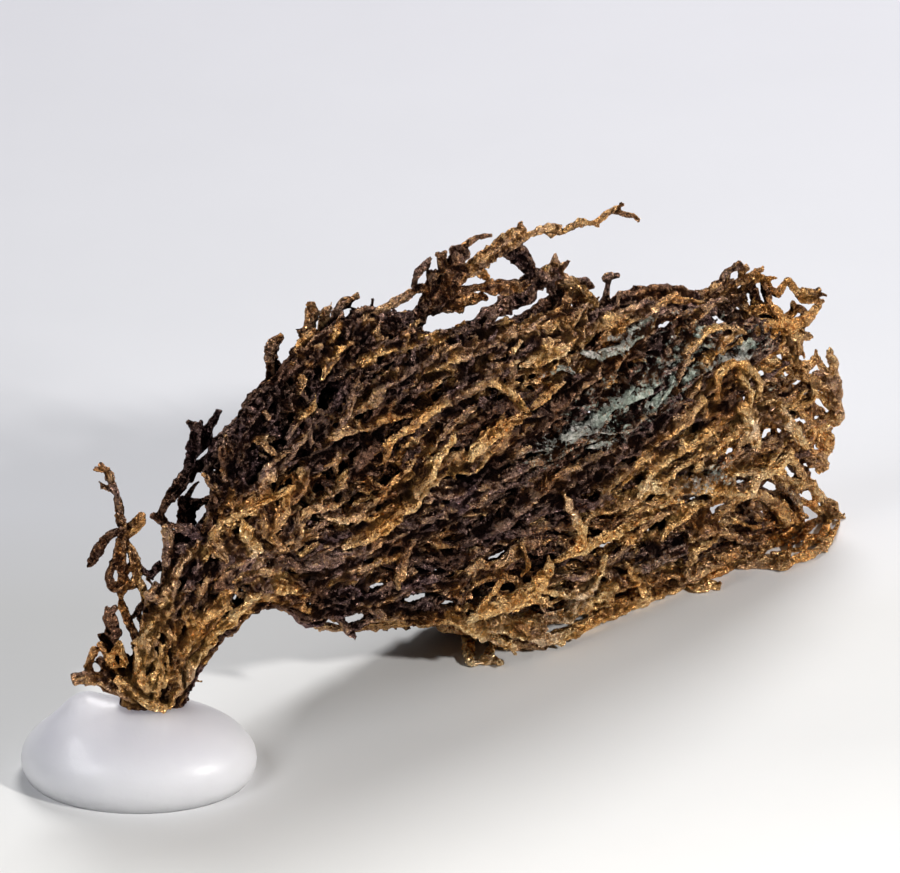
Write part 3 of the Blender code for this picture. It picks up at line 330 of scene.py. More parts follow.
# Broad or bright ribbons, one by one: (depth as a share of the fan's half thickness, -1 at its front,
# half width, flatness, tone, verdigris, points).
KNOB_RIBBONS = (
    (-0.8, 1.9, 0.8, 0.42, 0, ((9.2, 20.4), (9.6, 22.4), (10.8, 24.6), (12.6, 26.6), (14.4, 28))),
    (-0.8, 1.9, 0.8, 0.38, 0, ((11, 19.8), (12, 21.6), (13.2, 23.4), (14.6, 25), (16.2, 26.2))),
    (-0.72, 1.5, 0.8, 0.3, 0, ((13.4, 20.4), (14.6, 21.8), (15.6, 23.4), (17.4, 24.8))),
    (-1.15, 0.75, 0.45, 0.86, 0, ((10.3, 25.5), (10.7, 24.2), (11.2, 22.7), (11.6, 21.6))),
    (-1.1, 0.85, 0.5, 0.64, 0, ((8.4, 25.4), (7.7, 23.7), (8, 22.2), (9.2, 21.2), (10.6, 21))),
    (-1.05, 0.7, 0.5, 0.62, 0, ((12.2, 25.8), (12.7, 24.4), (13.6, 23.1), (14.8, 22))),
    (-1.1, 0.75, 0.4, 0.68, 0, ((14.8, 28.2), (14.6, 26.9), (14.3, 25.7), (13.9, 24.5))),
    (-1.12, 0.55, 0.6, 0.84, 0, ((9.8, 26), (11.2, 26.4), (12.6, 27.2), (14, 27.8), (15.2, 28.7))),
    (-1, 0.7, 0.5, 0.92, 0, ((10, 19.8), (11.6, 19.3), (13.2, 19.5), (14.6, 20.2))),
    (-0.9, 0.6, 0.6, 0.45, 0, ((8.6, 20.7), (10.5, 20.4), (12.2, 20.6), (14, 21.2))),
    (-1, 0.6, 0.6, 0.55, 0, ((14.5, 21.7), (15.6, 22.7), (16, 24.2), (15.6, 25.6))),
    (-1.05, 0.5, 0.6, 0.62, 0, ((16, 25.2), (16.8, 26), (18, 26.3), (19.4, 26.5), (20.6, 27.4))),
    (-1.05, 0.4, 0.6, 0.8, 0, ((18.8, 25.4), (20.5, 25.3), (22, 25.5), (23.4, 25.3))),
    (-1.1, 0.95, 0.42, 0.8, 0, ((20.2, 22.4), (21.8, 23.1), (23.4, 23.9), (25, 25), (26.2, 26.1),
        (27.4, 27), (28.8, 28.2))),
    (-1.12, 0.55, 0.5, 0.84, 0, ((27.4, 27.5), (28.6, 28.6), (29.3, 29.8), (29.7, 31.1), (30.6, 32.4),
        (31.7, 33.4))),
    (-1.05, 0.8, 0.45, 0.3, 0, ((17.2, 17), (17.7, 18.5), (18.9, 19.8), (20.5, 20.9), (22.2, 21.8),
        (24.1, 22.6), (26, 23.1))),
    (-0.95, 0.7, 0.5, 0.3, 0, ((18.2, 17.2), (19.4, 18.4), (21, 19.4), (22.6, 19.9))),
    (-1, 0.6, 0.6, 0.56, 0, ((16, 17.2), (16.3, 18.4), (17.2, 19.4), (18.6, 20.4), (20.2, 21.5),
        (21.8, 22.4))),
    (-1.1, 0.7, 0.5, 0.6, 0, ((25.8, 18.2), (26, 19.7), (26.4, 21.2), (26.8, 22.4), (27.4, 23.2))),
    (-1, 0.5, 0.5, 0.5, 0, ((25, 19), (26.2, 20), (27.2, 20.4))),
)
CROWN_RIBBONS = (
    (-1.1, 0.45, 0.5, 0.86, 0, ((19, 42.8), (19.6, 43.9), (20.2, 45.1))),
    (-1.1, 0.5, 0.45, 0.7, 0, ((16, 37.6), (16.4, 38.6), (16.2, 39.6))),
    (-1.1, 0.5, 0.5, 0.8, 0, ((18.3, 39), (18.8, 40.4), (19.6, 41.7), (20.5, 42.6))),
    (-1.1, 0.45, 0.5, 0.84, 0, ((11.6, 32.7), (12.3, 33.2), (13, 33.8))),
    (-1.1, 0.55, 0.5, 0.66, 0, ((13.8, 31.6), (13, 32.4), (12.4, 33.2))),
    (-1.1, 0.5, 0.5, 0.82, 0, ((16, 35.2), (16.9, 36.1), (17.6, 37.2))),
    (-1.05, 0.6, 0.5, 0.5, 0, ((14.6, 33.2), (15.4, 34.4), (16.2, 35.4), (17.2, 36.4))),
    (-1.1, 0.6, 0.5, 0.84, 0, ((24.4, 32.6), (25.8, 33.6), (27.2, 34.5), (28.4, 35.5), (29.6, 36.4),
        (31.2, 37))),
    (-1.1, 0.6, 0.5, 0.7, 0, ((24.4, 30.6), (24.7, 32), (25.2, 33.1))),
    (-1.1, 0.5, 0.5, 0.84, 0, ((22, 27.8), (23.2, 28.3), (24.2, 29.3), (24.8, 30.6))),
    (-1, 0.6, 0.5, 0.5, 0, ((14, 30.2), (15, 31.7), (16, 33.2), (17.2, 34.8), (18.5, 36))),
    (-1, 0.6, 0.5, 0.62, 0, ((17.8, 30.2), (19.2, 31), (20.2, 31.7))),
    (-1.05, 0.6, 0.5, 0.46, 0, ((19.6, 34.2), (20.6, 35.4), (21, 36.7), (21.2, 38), (22, 39.2))),
    (-1.05, 0.5, 0.5, 0.62, 0, ((15.8, 42), (16.2, 42.7), (16.8, 43.6), (17.8, 44.2))),
    (-1.05, 0.5, 0.5, 0.78, 0, ((16, 43.2), (16, 42), (16.6, 41.2), (17.6, 42))),
)
UPPER_RIBBONS = (
    (-1.1, 0.6, 0.5, 0.88, 0, ((38, 40.7), (39.4, 40.9), (40.8, 41.4), (42.1, 42), (43.4, 42.8))),
    (-1.05, 0.6, 0.5, 0.8, 0, ((38.4, 43.5), (40, 44.1), (41.6, 44.7), (43.2, 45.4), (44.4, 45.8))),
    (-1, 0.6, 0.5, 0.66, 0, ((34, 42), (35.5, 42.7), (37.2, 43.4), (39, 43.6))),
    (-1.12, 0.6, 0.5, 0.8, 0, ((34.4, 38.6), (36, 38.6), (37.2, 38), (38, 37), (38.6, 36))),
    (-1.12, 0.5, 0.5, 0.74, 0, ((38.6, 36), (39.8, 36.9), (41, 38), (42.2, 38.9))),
    (-1.05, 0.85, 0.45, 0.26, 0, ((33.8, 37.2), (35.2, 36.5), (36.6, 36.7), (37.6, 36))),
    (-1.12, 0.95, 0.4, 0.82, 0, ((32.8, 30.9), (33.5, 32), (34.4, 33.1), (35.7, 34), (37.1, 34.9),
        (38.6, 35.9))),
    (-1, 0.75, 0.5, 0.36, 0, ((36.5, 32.2), (38.2, 33.4), (40, 34.8), (41.6, 36.6), (43.4, 38.2),
        (45, 39.6), (46.6, 41), (48.2, 42.2))),
    (-1, 0.6, 0.5, 0.5, 0, ((30, 33.2), (31, 34.7), (32.2, 35.7), (33.6, 36.7))),
    (-1, 0.6, 0.5, 0.68, 0, ((47.8, 44.6), (49.6, 45.4), (51, 46.4), (52.4, 47.1), (54.4, 47.2),
        (56.8, 46.9))),
)
VERDIGRIS_RIBBONS = (
    (-1, 0.7, 0.5, 0.36, 0.4, ((42.6, 34.4), (43.6, 35.8), (44.8, 37.2), (46, 38.8), (47.2, 40))),
    (-1.1, 0.9, 0.4, 0.4, 1, ((42, 33.2), (43.6, 34), (45, 34.8), (46.2, 36), (47.4, 36.9), (49, 37.6),
        (50.8, 38.5), (52, 39.4))),
    (-1.05, 0.5, 0.5, 0.4, 0.9, ((44.2, 42), (45.7, 41.7), (47.1, 42), (48.6, 42.7), (50, 43.5))),
    (-1.05, 0.5, 0.5, 0.4, 0.7, ((39.6, 39.4), (41, 40), (42.2, 40.4), (43.4, 39.8))),
    (-1, 0.35, 0.6, 0.3, 0.8, ((44.4, 32.4), (46, 32.6), (47.8, 32.9), (49.2, 33.2))),
    (-1.05, 0.5, 0.5, 0.4, 0.8, ((46.8, 43.2), (48.2, 43.8), (49.6, 44.6), (51, 45.4))),
    (-1, 0.6, 0.5, 0.42, 0.15, ((46, 40), (47.4, 41.1), (48.6, 42.2), (50.1, 43.3), (51.6, 44.2))),
    (-1.08, 0.65, 0.45, 0.35, 0.9, ((50, 35.2), (51.5, 36.9), (52.8, 38.3), (53.5, 39.7), (53.9, 41.1),
        (54.6, 42.3), (55.5, 43.4), (56, 44.8))),
    (-1.1, 0.55, 0.5, 0.35, 0.95, ((54.4, 39.2), (55.6, 40.1), (56.9, 40.9), (58.3, 41.4), (59.8, 41.5),
        (61.3, 41.7))),
    (-1, 0.5, 0.5, 0.3, 0.7, ((55.8, 42.5), (57.3, 42.9), (58.7, 43.4), (60.2, 43.9))),
    (-1.1, 0.6, 0.45, 0.35, 1, ((60.1, 41.8), (60.8, 42.6), (61.6, 43.1))),
    (-1.15, 0.6, 0.55, 0.72, 0, ((53.7, 38), (53.8, 39.2), (54.2, 40.6), (54.8, 42), (55.7, 43.3),
        (56.9, 44.2), (58.4, 44.6), (60.5, 44.1))),
    (-1, 0.8, 0.45, 0.38, 0.25, ((49.7, 37.6), (50.6, 39.2), (51.5, 41), (52.6, 42.5), (54, 43.4))),
    (-1, 0.8, 0.45, 0.4, 0.3, ((47.2, 43.2), (49.2, 44.2), (51.2, 45), (53.2, 45.6), (55.4, 46))),
    (-1.1, 0.85, 0.45, 0.72, 0, ((51.2, 32.6), (52.8, 33.8), (54.4, 35), (55.4, 36.4), (56.2, 37.8))),
)
RIGHT_RIBBONS = (
    (-1.15, 0.6, 0.6, 0.8, 0, ((58.2, 37), (57.8, 38.4), (58.2, 40), (59.5, 40.9), (61, 40.4), (62, 39.1),
        (62.2, 37.4))),
    (-1.15, 0.6, 0.5, 0.86, 0, ((59.8, 40), (60.7, 38.8), (61.1, 37.4), (60.8, 36.4))),
    (-1.15, 0.8, 0.45, 0.86, 0, ((60.1, 37.4), (60.8, 36), (61.3, 34.6), (61.8, 33.2), (61.7, 32.3))),
    (-1.15, 0.7, 0.45, 0.86, 0, ((64.2, 36.8), (64.9, 35.6), (65.6, 34.3), (66.4, 33.2), (67.1, 32.3))),
    (-1.1, 0.6, 0.5, 0.8, 0, ((50, 27.2), (50.8, 29), (51.8, 30.5), (53.1, 31.4), (54.6, 32.3),
        (56.2, 33.4), (57.6, 34.3), (58.8, 35.4))),
    (-1, 0.6, 0.5, 0.6, 0, ((48.6, 25.6), (50.8, 26.6), (52.8, 27.6), (55, 28.6), (57.2, 29.3),
        (59.2, 29.4))),
    (-1.05, 0.8, 0.4, 0.4, 0.6, ((54.4, 28.2), (56, 28.8), (57.8, 29.2), (59.2, 29.2))),
    (-1.08, 0.75, 0.45, 0.76, 0, ((52.2, 23.2), (53, 24.5), (54.2, 25.5), (55.4, 26.4), (57, 26.9))),
    (-1, 0.7, 0.5, 0.66, 0, ((57, 26.9), (58.8, 27.4), (60.6, 27.8), (62.6, 27.5), (64.2, 26.4),
        (65, 25))),
    (-1, 1, 0.4, 0.34, 0.2, ((49.2, 20), (51, 21), (52.8, 21.6), (54.6, 22.3))),
    (-0.9, 0.5, 0.7, 0.2, 0, ((55, 26.2), (56.2, 27.3), (58, 28.1), (60, 28.5), (61.7, 28.2),
        (63.2, 27.6), (64.4, 26.8))),
    (-1.05, 0.55, 0.5, 0.8, 0, ((63.5, 27.2), (64.4, 26.2), (65, 25), (64.8, 24.4))),
    (-1, 0.6, 0.5, 0.6, 0, ((55, 20.4), (55.6, 21.8), (56.6, 22.7), (58, 23.1))),
    (-1.05, 0.5, 0.5, 0.72, 0, ((46, 27.2), (47, 28.5), (48.2, 29.6), (50, 30.9), (51.5, 31.7))),
    (-1, 0.5, 0.5, 0.35, 0, ((41.6, 27.4), (42.6, 28.8), (43.8, 30.2), (45, 31.6))),
)
LOWER_RIBBONS = (
    (-1.15, 1.05, 0.42, 0.93, 0, ((32.6, 15), (34.4, 15.9), (36.4, 16.7), (38.4, 17.4), (39.8, 18.6),
        (40.6, 19.9), (41.3, 21))),
    (-1.12, 0.7, 0.5, 0.9, 0, ((41.3, 21), (42.8, 21.6), (44.4, 22.3), (46, 23.1), (47.8, 23.9),
        (49.6, 24.7), (51.4, 25.6))),
    (-1.1, 0.6, 0.5, 0.88, 0, ((39.8, 18.2), (41.6, 17.8), (43.4, 17.5), (44.6, 17.8), (45.6, 19),
        (46.3, 20.4), (46.6, 21.6))),
    (-1.1, 0.4, 0.6, 0.86, 0, ((33.6, 16), (34.7, 17.2), (35.6, 18.3), (36.4, 19.4))),
    (-1.12, 0.55, 0.5, 0.84, 0, ((42.4, 27.8), (43, 26.5), (43.7, 25.1), (44.3, 23.8), (44.4, 22.6))),
    (-1.05, 0.45, 0.5, 0.78, 0, ((38.2, 23.1), (38.5, 21.8), (38.8, 20.5), (38.2, 19.6))),
    (-1.05, 0.5, 0.5, 0.78, 0, ((48.6, 21), (49.4, 19.9), (50, 18.8), (50.6, 17.8))),
    (-1, 0.8, 0.45, 0.86, 0, ((30.8, 15.5), (32.2, 14.8), (33.8, 14), (35.6, 13.2), (37.6, 12.3))),
    (-1.05, 0.8, 0.45, 0.92, 0, ((34.6, 14.4), (36.6, 14.2), (38.4, 13.8), (40.4, 13.2), (42.6, 13.5),
        (44.6, 14.4), (46.4, 15.3))),
    (-1.1, 0.7, 0.4, 0.4, 0, ((37.6, 14.6), (38.6, 14), (39.8, 13.8))),
    (-1, 0.6, 0.5, 0.86, 0, ((42.6, 15), (43.4, 16), (44.4, 16.8), (45.8, 17.2), (47.2, 18.2),
        (48.4, 19.2))),
    (-1, 0.5, 0.5, 0.5, 0, ((46.4, 17.2), (48, 18.2), (50, 18.9), (52, 19.2), (54, 19.4))),
    (-0.9, 0.5, 0.7, 0.5, 0, ((16, 16.9), (17.4, 16.1), (19.1, 15.7), (20.5, 16.3), (22, 16.7),
        (23.8, 16.5), (25.6, 16), (27.6, 15.4), (29.6, 15.2))),
    (-0.9, 0.5, 0.7, 0.3, 0, ((18.2, 17.4), (20, 17.8), (21.8, 18), (23.8, 17.8), (25.6, 17.5))),
    (-0.9, 0.5, 0.7, 0.25, 0, ((25, 17.2), (26, 16.6), (28, 16.8), (30, 17.4), (32, 18), (34, 18.8))),
    (-0.9, 0.5, 0.7, 0.25, 0, ((28.6, 18.2), (30, 18.8), (32, 19.2), (34, 20), (35.8, 21))),
)
NET_RIBBONS = (
    (-0.2, 0.5, 0.7, 0.7, 0, ((64.6, 42), (65.7, 41.2), (66.5, 40), (67.6, 39.2), (69, 38.6))),
    (-0.3, 0.5, 0.7, 0.7, 0, ((63.8, 37.4), (64.4, 38.6), (65.5, 39.5), (66.6, 39.9))),
    (0, 0.55, 0.7, 0.72, 0, ((69.4, 42.6), (69.4, 41.4), (69.9, 40), (70.2, 38.4), (70.3, 36.8),
        (70.2, 35.4), (69.6, 34.6))),
    (0, 0.45, 0.7, 0.6, 0, ((68, 42.4), (68.2, 41.2), (68.8, 40.2), (69.8, 39.8))),
    (-0.2, 0.5, 0.7, 0.7, 0, ((67.6, 39.2), (67.8, 38), (67.2, 37), (65.8, 36.6), (64.4, 36.8))),
    (0.1, 0.5, 0.7, 0.66, 0, ((67.8, 38), (68.8, 37.4), (69.6, 36.6), (70.2, 36.2))),
    (0, 0.5, 0.7, 0.66, 0, ((65.8, 36.6), (66.8, 35.8), (67.5, 34.8), (67.4, 33.6), (66.8, 32.6))),
    (0.1, 0.5, 0.7, 0.72, 0, ((70.2, 35.4), (69, 34.8), (68.4, 33.8), (68.6, 32.6), (69.2, 31.8))),
    (0.1, 0.5, 0.7, 0.6, 0, ((68.6, 33.2), (69.2, 33.8), (69.6, 33), (69.2, 31.8), (68.6, 31.2))),
    (0, 0.5, 0.7, 0.6, 0, ((66.8, 32.6), (67.8, 32), (68.6, 31.4), (69.2, 30.6), (68.6, 29.8))),
    (-0.2, 0.55, 0.7, 0.6, 0, ((63, 32.6), (64.4, 32.2), (65.4, 31.4), (66.4, 30.2), (66.6, 29),
        (66.2, 28))),
    (0, 0.55, 0.7, 0.66, 0, ((66.2, 28), (66.6, 28.8), (67.6, 28.8), (68.2, 27.8), (69, 27))),
    (0, 0.5, 0.7, 0.72, 0, ((66, 27.4), (67.2, 26.8), (68.6, 26), (70, 25.6), (70.7, 25.4))),
    (0, 0.5, 0.7, 0.66, 0, ((69, 27), (69.9, 26.8), (70.2, 26))),
    (-0.2, 0.5, 0.7, 0.4, 0.3, ((61.6, 31), (63, 30.2), (64.4, 28.8), (65.6, 27.6), (66.6, 26),
        (67.2, 25.2))),
    (-0.2, 0.45, 0.7, 0.5, 0, ((60.8, 28), (61.8, 28.8), (62.4, 29.8), (61.6, 30.4), (60.8, 29.6),
        (61, 28.4))),
    (0, 0.5, 0.7, 0.4, 0.1, ((65, 21.6), (66, 23.2), (67.4, 24.4), (68.6, 25.2), (69, 26.2))),
    (0, 0.55, 0.7, 0.62, 0, ((70.5, 25.2), (69.9, 23.8), (68.8, 22.5), (67.4, 21.6), (65.8, 21),
        (64.2, 20.4), (62.4, 20.6), (60.2, 20.3))),
    (-0.1, 0.5, 0.7, 0.66, 0, ((69, 25.8), (69.2, 24.6), (68.6, 23.4), (67.2, 22.6), (66, 22))),
    (-0.2, 0.5, 0.7, 0.66, 0, ((64.6, 27.2), (65.2, 26), (66, 25), (66.8, 24.4))),
    (-0.3, 0.5, 0.7, 0.6, 0, ((62.2, 37.4), (62.4, 36), (62.4, 34.6), (62, 33.2))),
    (-0.3, 0.5, 0.7, 0.6, 0, ((62.4, 35.2), (63.6, 34.8), (64.4, 35.4), (64, 36.8))),
    (-0.3, 0.5, 0.7, 0.6, 0, ((63.6, 34.8), (63.8, 33.6), (63.6, 32.6))),
    (-0.2, 0.5, 0.7, 0.7, 0, ((65, 34.4), (65.6, 33.2), (65.2, 32.2))),
    (-0.4, 0.5, 0.7, 0.7, 0, ((62.2, 40.6), (63.4, 40.2), (64.6, 40.6), (65.4, 41.4))),
    (-0.4, 0.5, 0.7, 0.4, 0.4, ((62.2, 39.4), (63.4, 39.6), (64.4, 39.2), (64, 38.2), (62.8, 38.4))),
    (-0.3, 0.5, 0.7, 0.7, 0, ((60.6, 44.2), (62, 44), (63.4, 43.2), (64.6, 42))),
    (-0.3, 0.5, 0.7, 0.7, 0, ((62, 45.4), (63.4, 45), (64.8, 44.8), (65.7, 43.8), (66.2, 42.6),
        (66, 41.4))),
    (-0.2, 0.45, 0.7, 0.6, 0, ((65.7, 43.8), (66.8, 43.6), (67, 44))),
    (-0.3, 0.6, 0.7, 0.7, 0, ((62.8, 47.6), (63.6, 46.4), (64.6, 45.4), (66, 45), (67.2, 45.6),
        (68, 46.8))),
)
# Gaps that show the light behind: (across, up, half length, half width, angle). Strands flow round them.
OPENINGS = (
    (23.6, 18.6, 1.4, 0.25, 24),
    (27.4, 17.4, 1.3, 0.3, 15),
    (21.1, 15.3, 2, 0.35, 20),
    (18.4, 15.3, 0.75, 0.25, -28),
    (17, 16.9, 0.5, 0.25, -20),
    (30.8, 19.5, 0.6, 0.16, 15),
    (29.6, 20.2, 0.3, 0.16, 30),
    (30.6, 16.8, 0.8, 0.18, 3),
    (35.7, 21.7, 1.1, 0.22, 30),
    (36.7, 18.5, 0.7, 0.16, 28),
    (38.4, 15.7, 1.7, 0.4, 5),
    (44.3, 15.6, 0.5, 0.25, 0),
    (22.5, 21.2, 1.3, 0.14, 14),
    (20.1, 18.8, 0.35, 0.14, 10),
    (14.6, 20.1, 0.6, 0.25, 70),
    (10, 17.9, 1.3, 0.5, 62),
    (7.2, 19, 0.3, 0.2, 90),
    (6.3, 26, 0.8, 0.2, 85),
    (6.1, 28.5, 1.1, 0.6, 75),
    (33.6, 11.1, 0.3, 0.3, 0),
    (57.2, 36.3, 0.9, 0.3, 100),
    (59.4, 36.7, 0.5, 0.2, -60),
    (63, 38.3, 0.5, 0.25, 0),
    (66.8, 34.8, 0.4, 0.3, 60),
    (67.7, 34.8, 0.5, 0.2, 90),
    (68.2, 32.6, 0.6, 0.3, -60),
    (67.2, 33.8, 0.3, 0.2, 60),
    (68.3, 36.9, 0.6, 0.3, 20),
    (63, 34, 0.4, 0.3, 80),
    (64.6, 33.6, 0.5, 0.3, -60),
    (65.2, 30.3, 0.6, 0.4, -30),
    (60.4, 29, 0.7, 0.4, 25),
    (63.5, 28.5, 1.2, 0.35, -35),
    (67, 25.7, 1.3, 0.55, -25),
    (65.6, 24.8, 0.7, 0.3, -35),
    (68.3, 23.8, 0.4, 0.3, 20),
    (66.1, 22.4, 0.5, 0.16, 25),
    (68.9, 25.2, 0.6, 0.2, 80),
    (68.3, 26.4, 0.3, 0.2, 0),
    (55.3, 27.2, 0.9, 0.16, 28),
    (54.3, 34.4, 0.8, 0.3, 30),
    (52.2, 21.7, 0.3, 0.16, 30),
    (57.7, 46.4, 1.1, 0.25, 32),
    (59.6, 48, 0.4, 0.25, 0),
    (62.4, 45.7, 0.4, 0.25, -45),
)
# Ellipses outside the specimen's edge, in the same form. Strands end where they reach one.
CLEARINGS = (
    (31.5, 45.6, 4, 1, 22),
    (38.8, 46.7, 2.2, 0.5, 40),
    (67.2, 43.2, 1, 1.2, 0),
    (69.8, 33.2, 1, 1, 60),
    (67.8, 30.2, 1.2, 0.7, -20),
    (64.5, 46.9, 1.4, 0.9, 0),
)
# Ellipses where only placed ribbons cover the front.
BARE = (
    (12.2, 22.8, 4.2, 4.6, 0),
)
RIBBONS = (
    KNOB_RIBBONS + CROWN_RIBBONS + UPPER_RIBBONS + VERDIGRIS_RIBBONS + RIGHT_RIBBONS + LOWER_RIBBONS
    + NET_RIBBONS
)

# Two plain strands on the hidden back that rest on the surface: (across, back) points in millimetres.
RUNNER_RADIUS = 1.0
RUNNERS = (
    ((31.6, 29.3), (34.0, 31.2), (40.0, 35.6), (48.0, 41.4), (56.0, 47.0)),
    ((35.2, 26.7), (38.0, 28.6), (46.0, 33.4), (54.0, 38.4), (61.0, 43.4)),
)

# The limbs of the fan: (node, first rib, last rib, long strands, flakes, placed strands, seed).
LIMBS = (
    ("bottom_limb", 0.0, 0.95, 70, 170, EDGE_STRANDS, 11),
    ("lower_limb", 0.95, 2.05, 100, 260, LOWER_STRANDS, 12),
    ("middle_limb", 2.05, 3.3, 115, 300, MIDDLE_STRANDS, 13),
    ("upper_limb", 3.3, 5.2, 130, 400, UPPER_STRANDS, 14),
    ("crown_limb", 5.2, 7.0, 80, 330, CROWN_STRANDS, 15),
)
# Where strands are gold: (across, up, half length, half width, angle, share of the strands). The shares
# hold the metal's own gold and painted light, a lighter root and a darker crown. A share of 0 paints shade
# round the knob, where it lies in shadow.
GOLD_AND_SHADE = (
    (13.0, 25.0, 7.0, 5.0, 20.0, 0.34),
    (24.0, 27.5, 9.0, 2.6, 30.0, 0.50),
    (38.0, 13.5, 14.0, 3.8, 14.0, 0.92),
    (58.0, 19.0, 12.0, 4.5, 16.0, 0.66),
    (54.0, 29.5, 7.0, 3.6, 30.0, 0.66),
    (64.0, 32.0, 8.0, 12.0, 0.0, 0.60),
    (36.0, 29.5, 10.0, 6.0, 30.0, 0.10),
    (26.0, 19.5, 9.0, 3.0, 15.0, 0.12),
    (17.0, 36.0, 10.0, 7.0, 45.0, 0.06),
    (36.0, 40.5, 8.0, 4.0, 30.0, 0.42),
    (52.0, 38.0, 9.0, 5.0, 33.0, 0.20),
    (6.0, 8.0, 8.0, 8.0, 0.0, 0.85),
    (5.8, 21.5, 1.8, 6.0, 0.0, 0.0),
    (17.8, 21.4, 3.0, 1.6, 20.0, 0.0),
    (12.0, 30.4, 5.0, 1.6, 15.0, 0.0),
)

# The grain of each fused skin, the most triangles it keeps, and the furthest back that strands reach.
LIMB_VOXEL = 0.19
ROOT_VOXEL = 0.17
TWIG_VOXEL = 0.13
LIMB_TRIANGLES = 160000
TWIG_TRIANGLES = 24000
ROOT_TRIANGLES = 64000
BACK_LIMIT = 50.6


def through(points, shares):
    """Points of a smooth (Catmull-Rom) curve through `points`, at an array of shares from 0 to 1."""
    points = np.asarray(points, float)
    padded = np.vstack((2 * points[:1] - points[1:2], points, 2 * points[-1:] - points[-2:-1]))
    place = np.clip(np.asarray(shares, float), 0.0, 1.0) * (len(points) - 1)
    start = np.minimum(place.astype(int), len(points) - 2)
    t = (place - start)[:, None]
    before, here, there, after = (padded[start + step] for step in range(4))
    return 0.5 * (
        2 * here
        + (there - before) * t
        + (2 * before - 5 * here + 4 * there - after) * t**2
        + (3 * here - before - 3 * there + after) * t**3
    )


FAN_RIB_STEPS = 140
FAN_STATION_STEPS = 280
station_curves = np.array([through(rib, np.linspace(0, 1, FAN_STATION_STEPS + 1)) for rib in RIBS])
FAN_GRID = np.array([
    through(station_curves[:, column], np.linspace(0, 1, FAN_RIB_STEPS + 1))
    for column in range(FAN_STATION_STEPS + 1)
]).transpose(1, 0, 2)


def fan_points(ribs, stations):
    """(across, up) at arrays of rib and station numbers."""
    row = np.clip(ribs / LAST_RIB, 0.0, 1.0) * FAN_RIB_STEPS
    column = np.clip(stations / LAST_STATION, 0.0, 1.0) * FAN_STATION_STEPS
    row_start = np.minimum(row.astype(int), FAN_RIB_STEPS - 1)
    column_start = np.minimum(column.astype(int), FAN_STATION_STEPS - 1)
    r = (row - row_start)[:, None]
    c = (column - column_start)[:, None]
    low = FAN_GRID[row_start, column_start] * (1 - c) + FAN_GRID[row_start, column_start + 1] * c
    high = FAN_GRID[row_start + 1, column_start] * (1 - c) + FAN_GRID[row_start + 1, column_start + 1] * c
    return low * (1 - r) + high * r


def half_thickness(ribs, stations):
    along = np.interp(stations, range(LAST_STATION + 1), HALF_THICKNESS)
    return along * np.interp(ribs, range(LAST_RIB + 1), RIB_THICKNESS)


def fan_address(across, up):
    """The nearest rib and station numbers to one point of the slanted plane."""
    gap = (FAN_GRID[:, :, 0] - across) ** 2 + (FAN_GRID[:, :, 1] - up) ** 2
    row, column = np.unravel_index(gap.argmin(), gap.shape)
    return row * LAST_RIB / FAN_RIB_STEPS, column * LAST_STATION / FAN_STATION_STEPS


OPENING_TABLE = np.array(OPENINGS) * (1.0, 1.0, 1.0, 1.0, math.pi / 180)


def within(ellipse, across, up, margin):
    """(position along the ellipse, position beside it, how far out it is: under 1 is inside)."""
    centre_across, centre_up, long, wide, angle = ellipse
    cosine = math.cos(math.radians(angle))
    sine = math.sin(math.radians(angle))
    along = (across - centre_across) * cosine + (up - centre_up) * sine
    beside = (up - centre_up) * cosine - (across - centre_across) * sine
    return along, beside, (along / (long + margin)) ** 2 + (beside / (wide + margin)) ** 2


def round_openings(across, up, margin):
    """Moves points sideways until they clear every opening."""
    for ellipse in OPENINGS:
        long, wide, angle = ellipse[2:]
        along, beside, out = within(ellipse, across, up, margin)
        rim = (wide + margin) * np.sqrt(np.clip(1 - (along / (long + margin)) ** 2, 0, 1))
        side = 1.0 if beside[out < 1].sum() >= 0 else -1.0
        shift = np.where(out < 1, side * rim - beside, 0.0)
        across = across - shift * math.sin(math.radians(angle))
        up = up + shift * math.cos(math.radians(angle))
    return across, up


def clear_of_openings(points):
    """Whether no point hides an opening."""
    across, up = seen(points)
    x = across[:, None] - OPENING_TABLE[:, 0]
    y = up[:, None] - OPENING_TABLE[:, 1]
    cosine = np.cos(OPENING_TABLE[:, 4])
    sine = np.sin(OPENING_TABLE[:, 4])
    along = (x * cosine + y * sine) / OPENING_TABLE[:, 2]
    beside = (y * cosine - x * sine) / OPENING_TABLE[:, 3]
    return (along**2 + beside**2).min() > 1


def open_length(across, up):
    """How many points a strand has before it enters a clearing."""
    blocked = np.zeros(len(across), bool)
    for ellipse in CLEARINGS:
        blocked |= within(ellipse, across, up, 0.3)[2] < 1
    return int(blocked.argmax()) if blocked.any() else len(across)


def is_bare(point):
    return any(within(ellipse, point[0], point[1], 0.0)[2] < 1 for ellipse in BARE)


def sheet_depth(across):
    setback = SHEET_SETBACK * np.clip(across / SETBACK_LENGTH, 0.0, 1.0)
    return SHEET_SLOPE * np.maximum(across - 1.0, 0.0) + setback


def place(across, up, depth, radius):
    """Positions in millimetres, moved forward where they would otherwise sink below the surface."""
    deepest = (up - COS_LOOK * (radius + FLOOR_CLEARANCE)) / SIN_LOOK
    depth = np.minimum(np.minimum(depth, deepest), BACK_LIMIT - 0.5 * radius)
    return np.stack((across, depth, (up - depth * SIN_LOOK) / COS_LOOK), axis=1)


def seen(points):
    """(across, up) of positions, as the camera sees them."""
    return points[:, 0], points[:, 1] * SIN_LOOK + points[:, 2] * COS_LOOK


def unit(vectors):
    return vectors / np.maximum(np.linalg.norm(vectors, axis=-1, keepdims=True), 1e-9)


def waves(rng, distance, wavelength, count=3):
    """Smooth random variation from -1 to 1 along a distance."""
    total = np.zeros_like(distance)
    for _ in range(count):
        length = wavelength * rng.uniform(0.6, 1.6)
        total += np.sin(math.tau * distance / length + rng.uniform(0, math.tau))
    return total / count


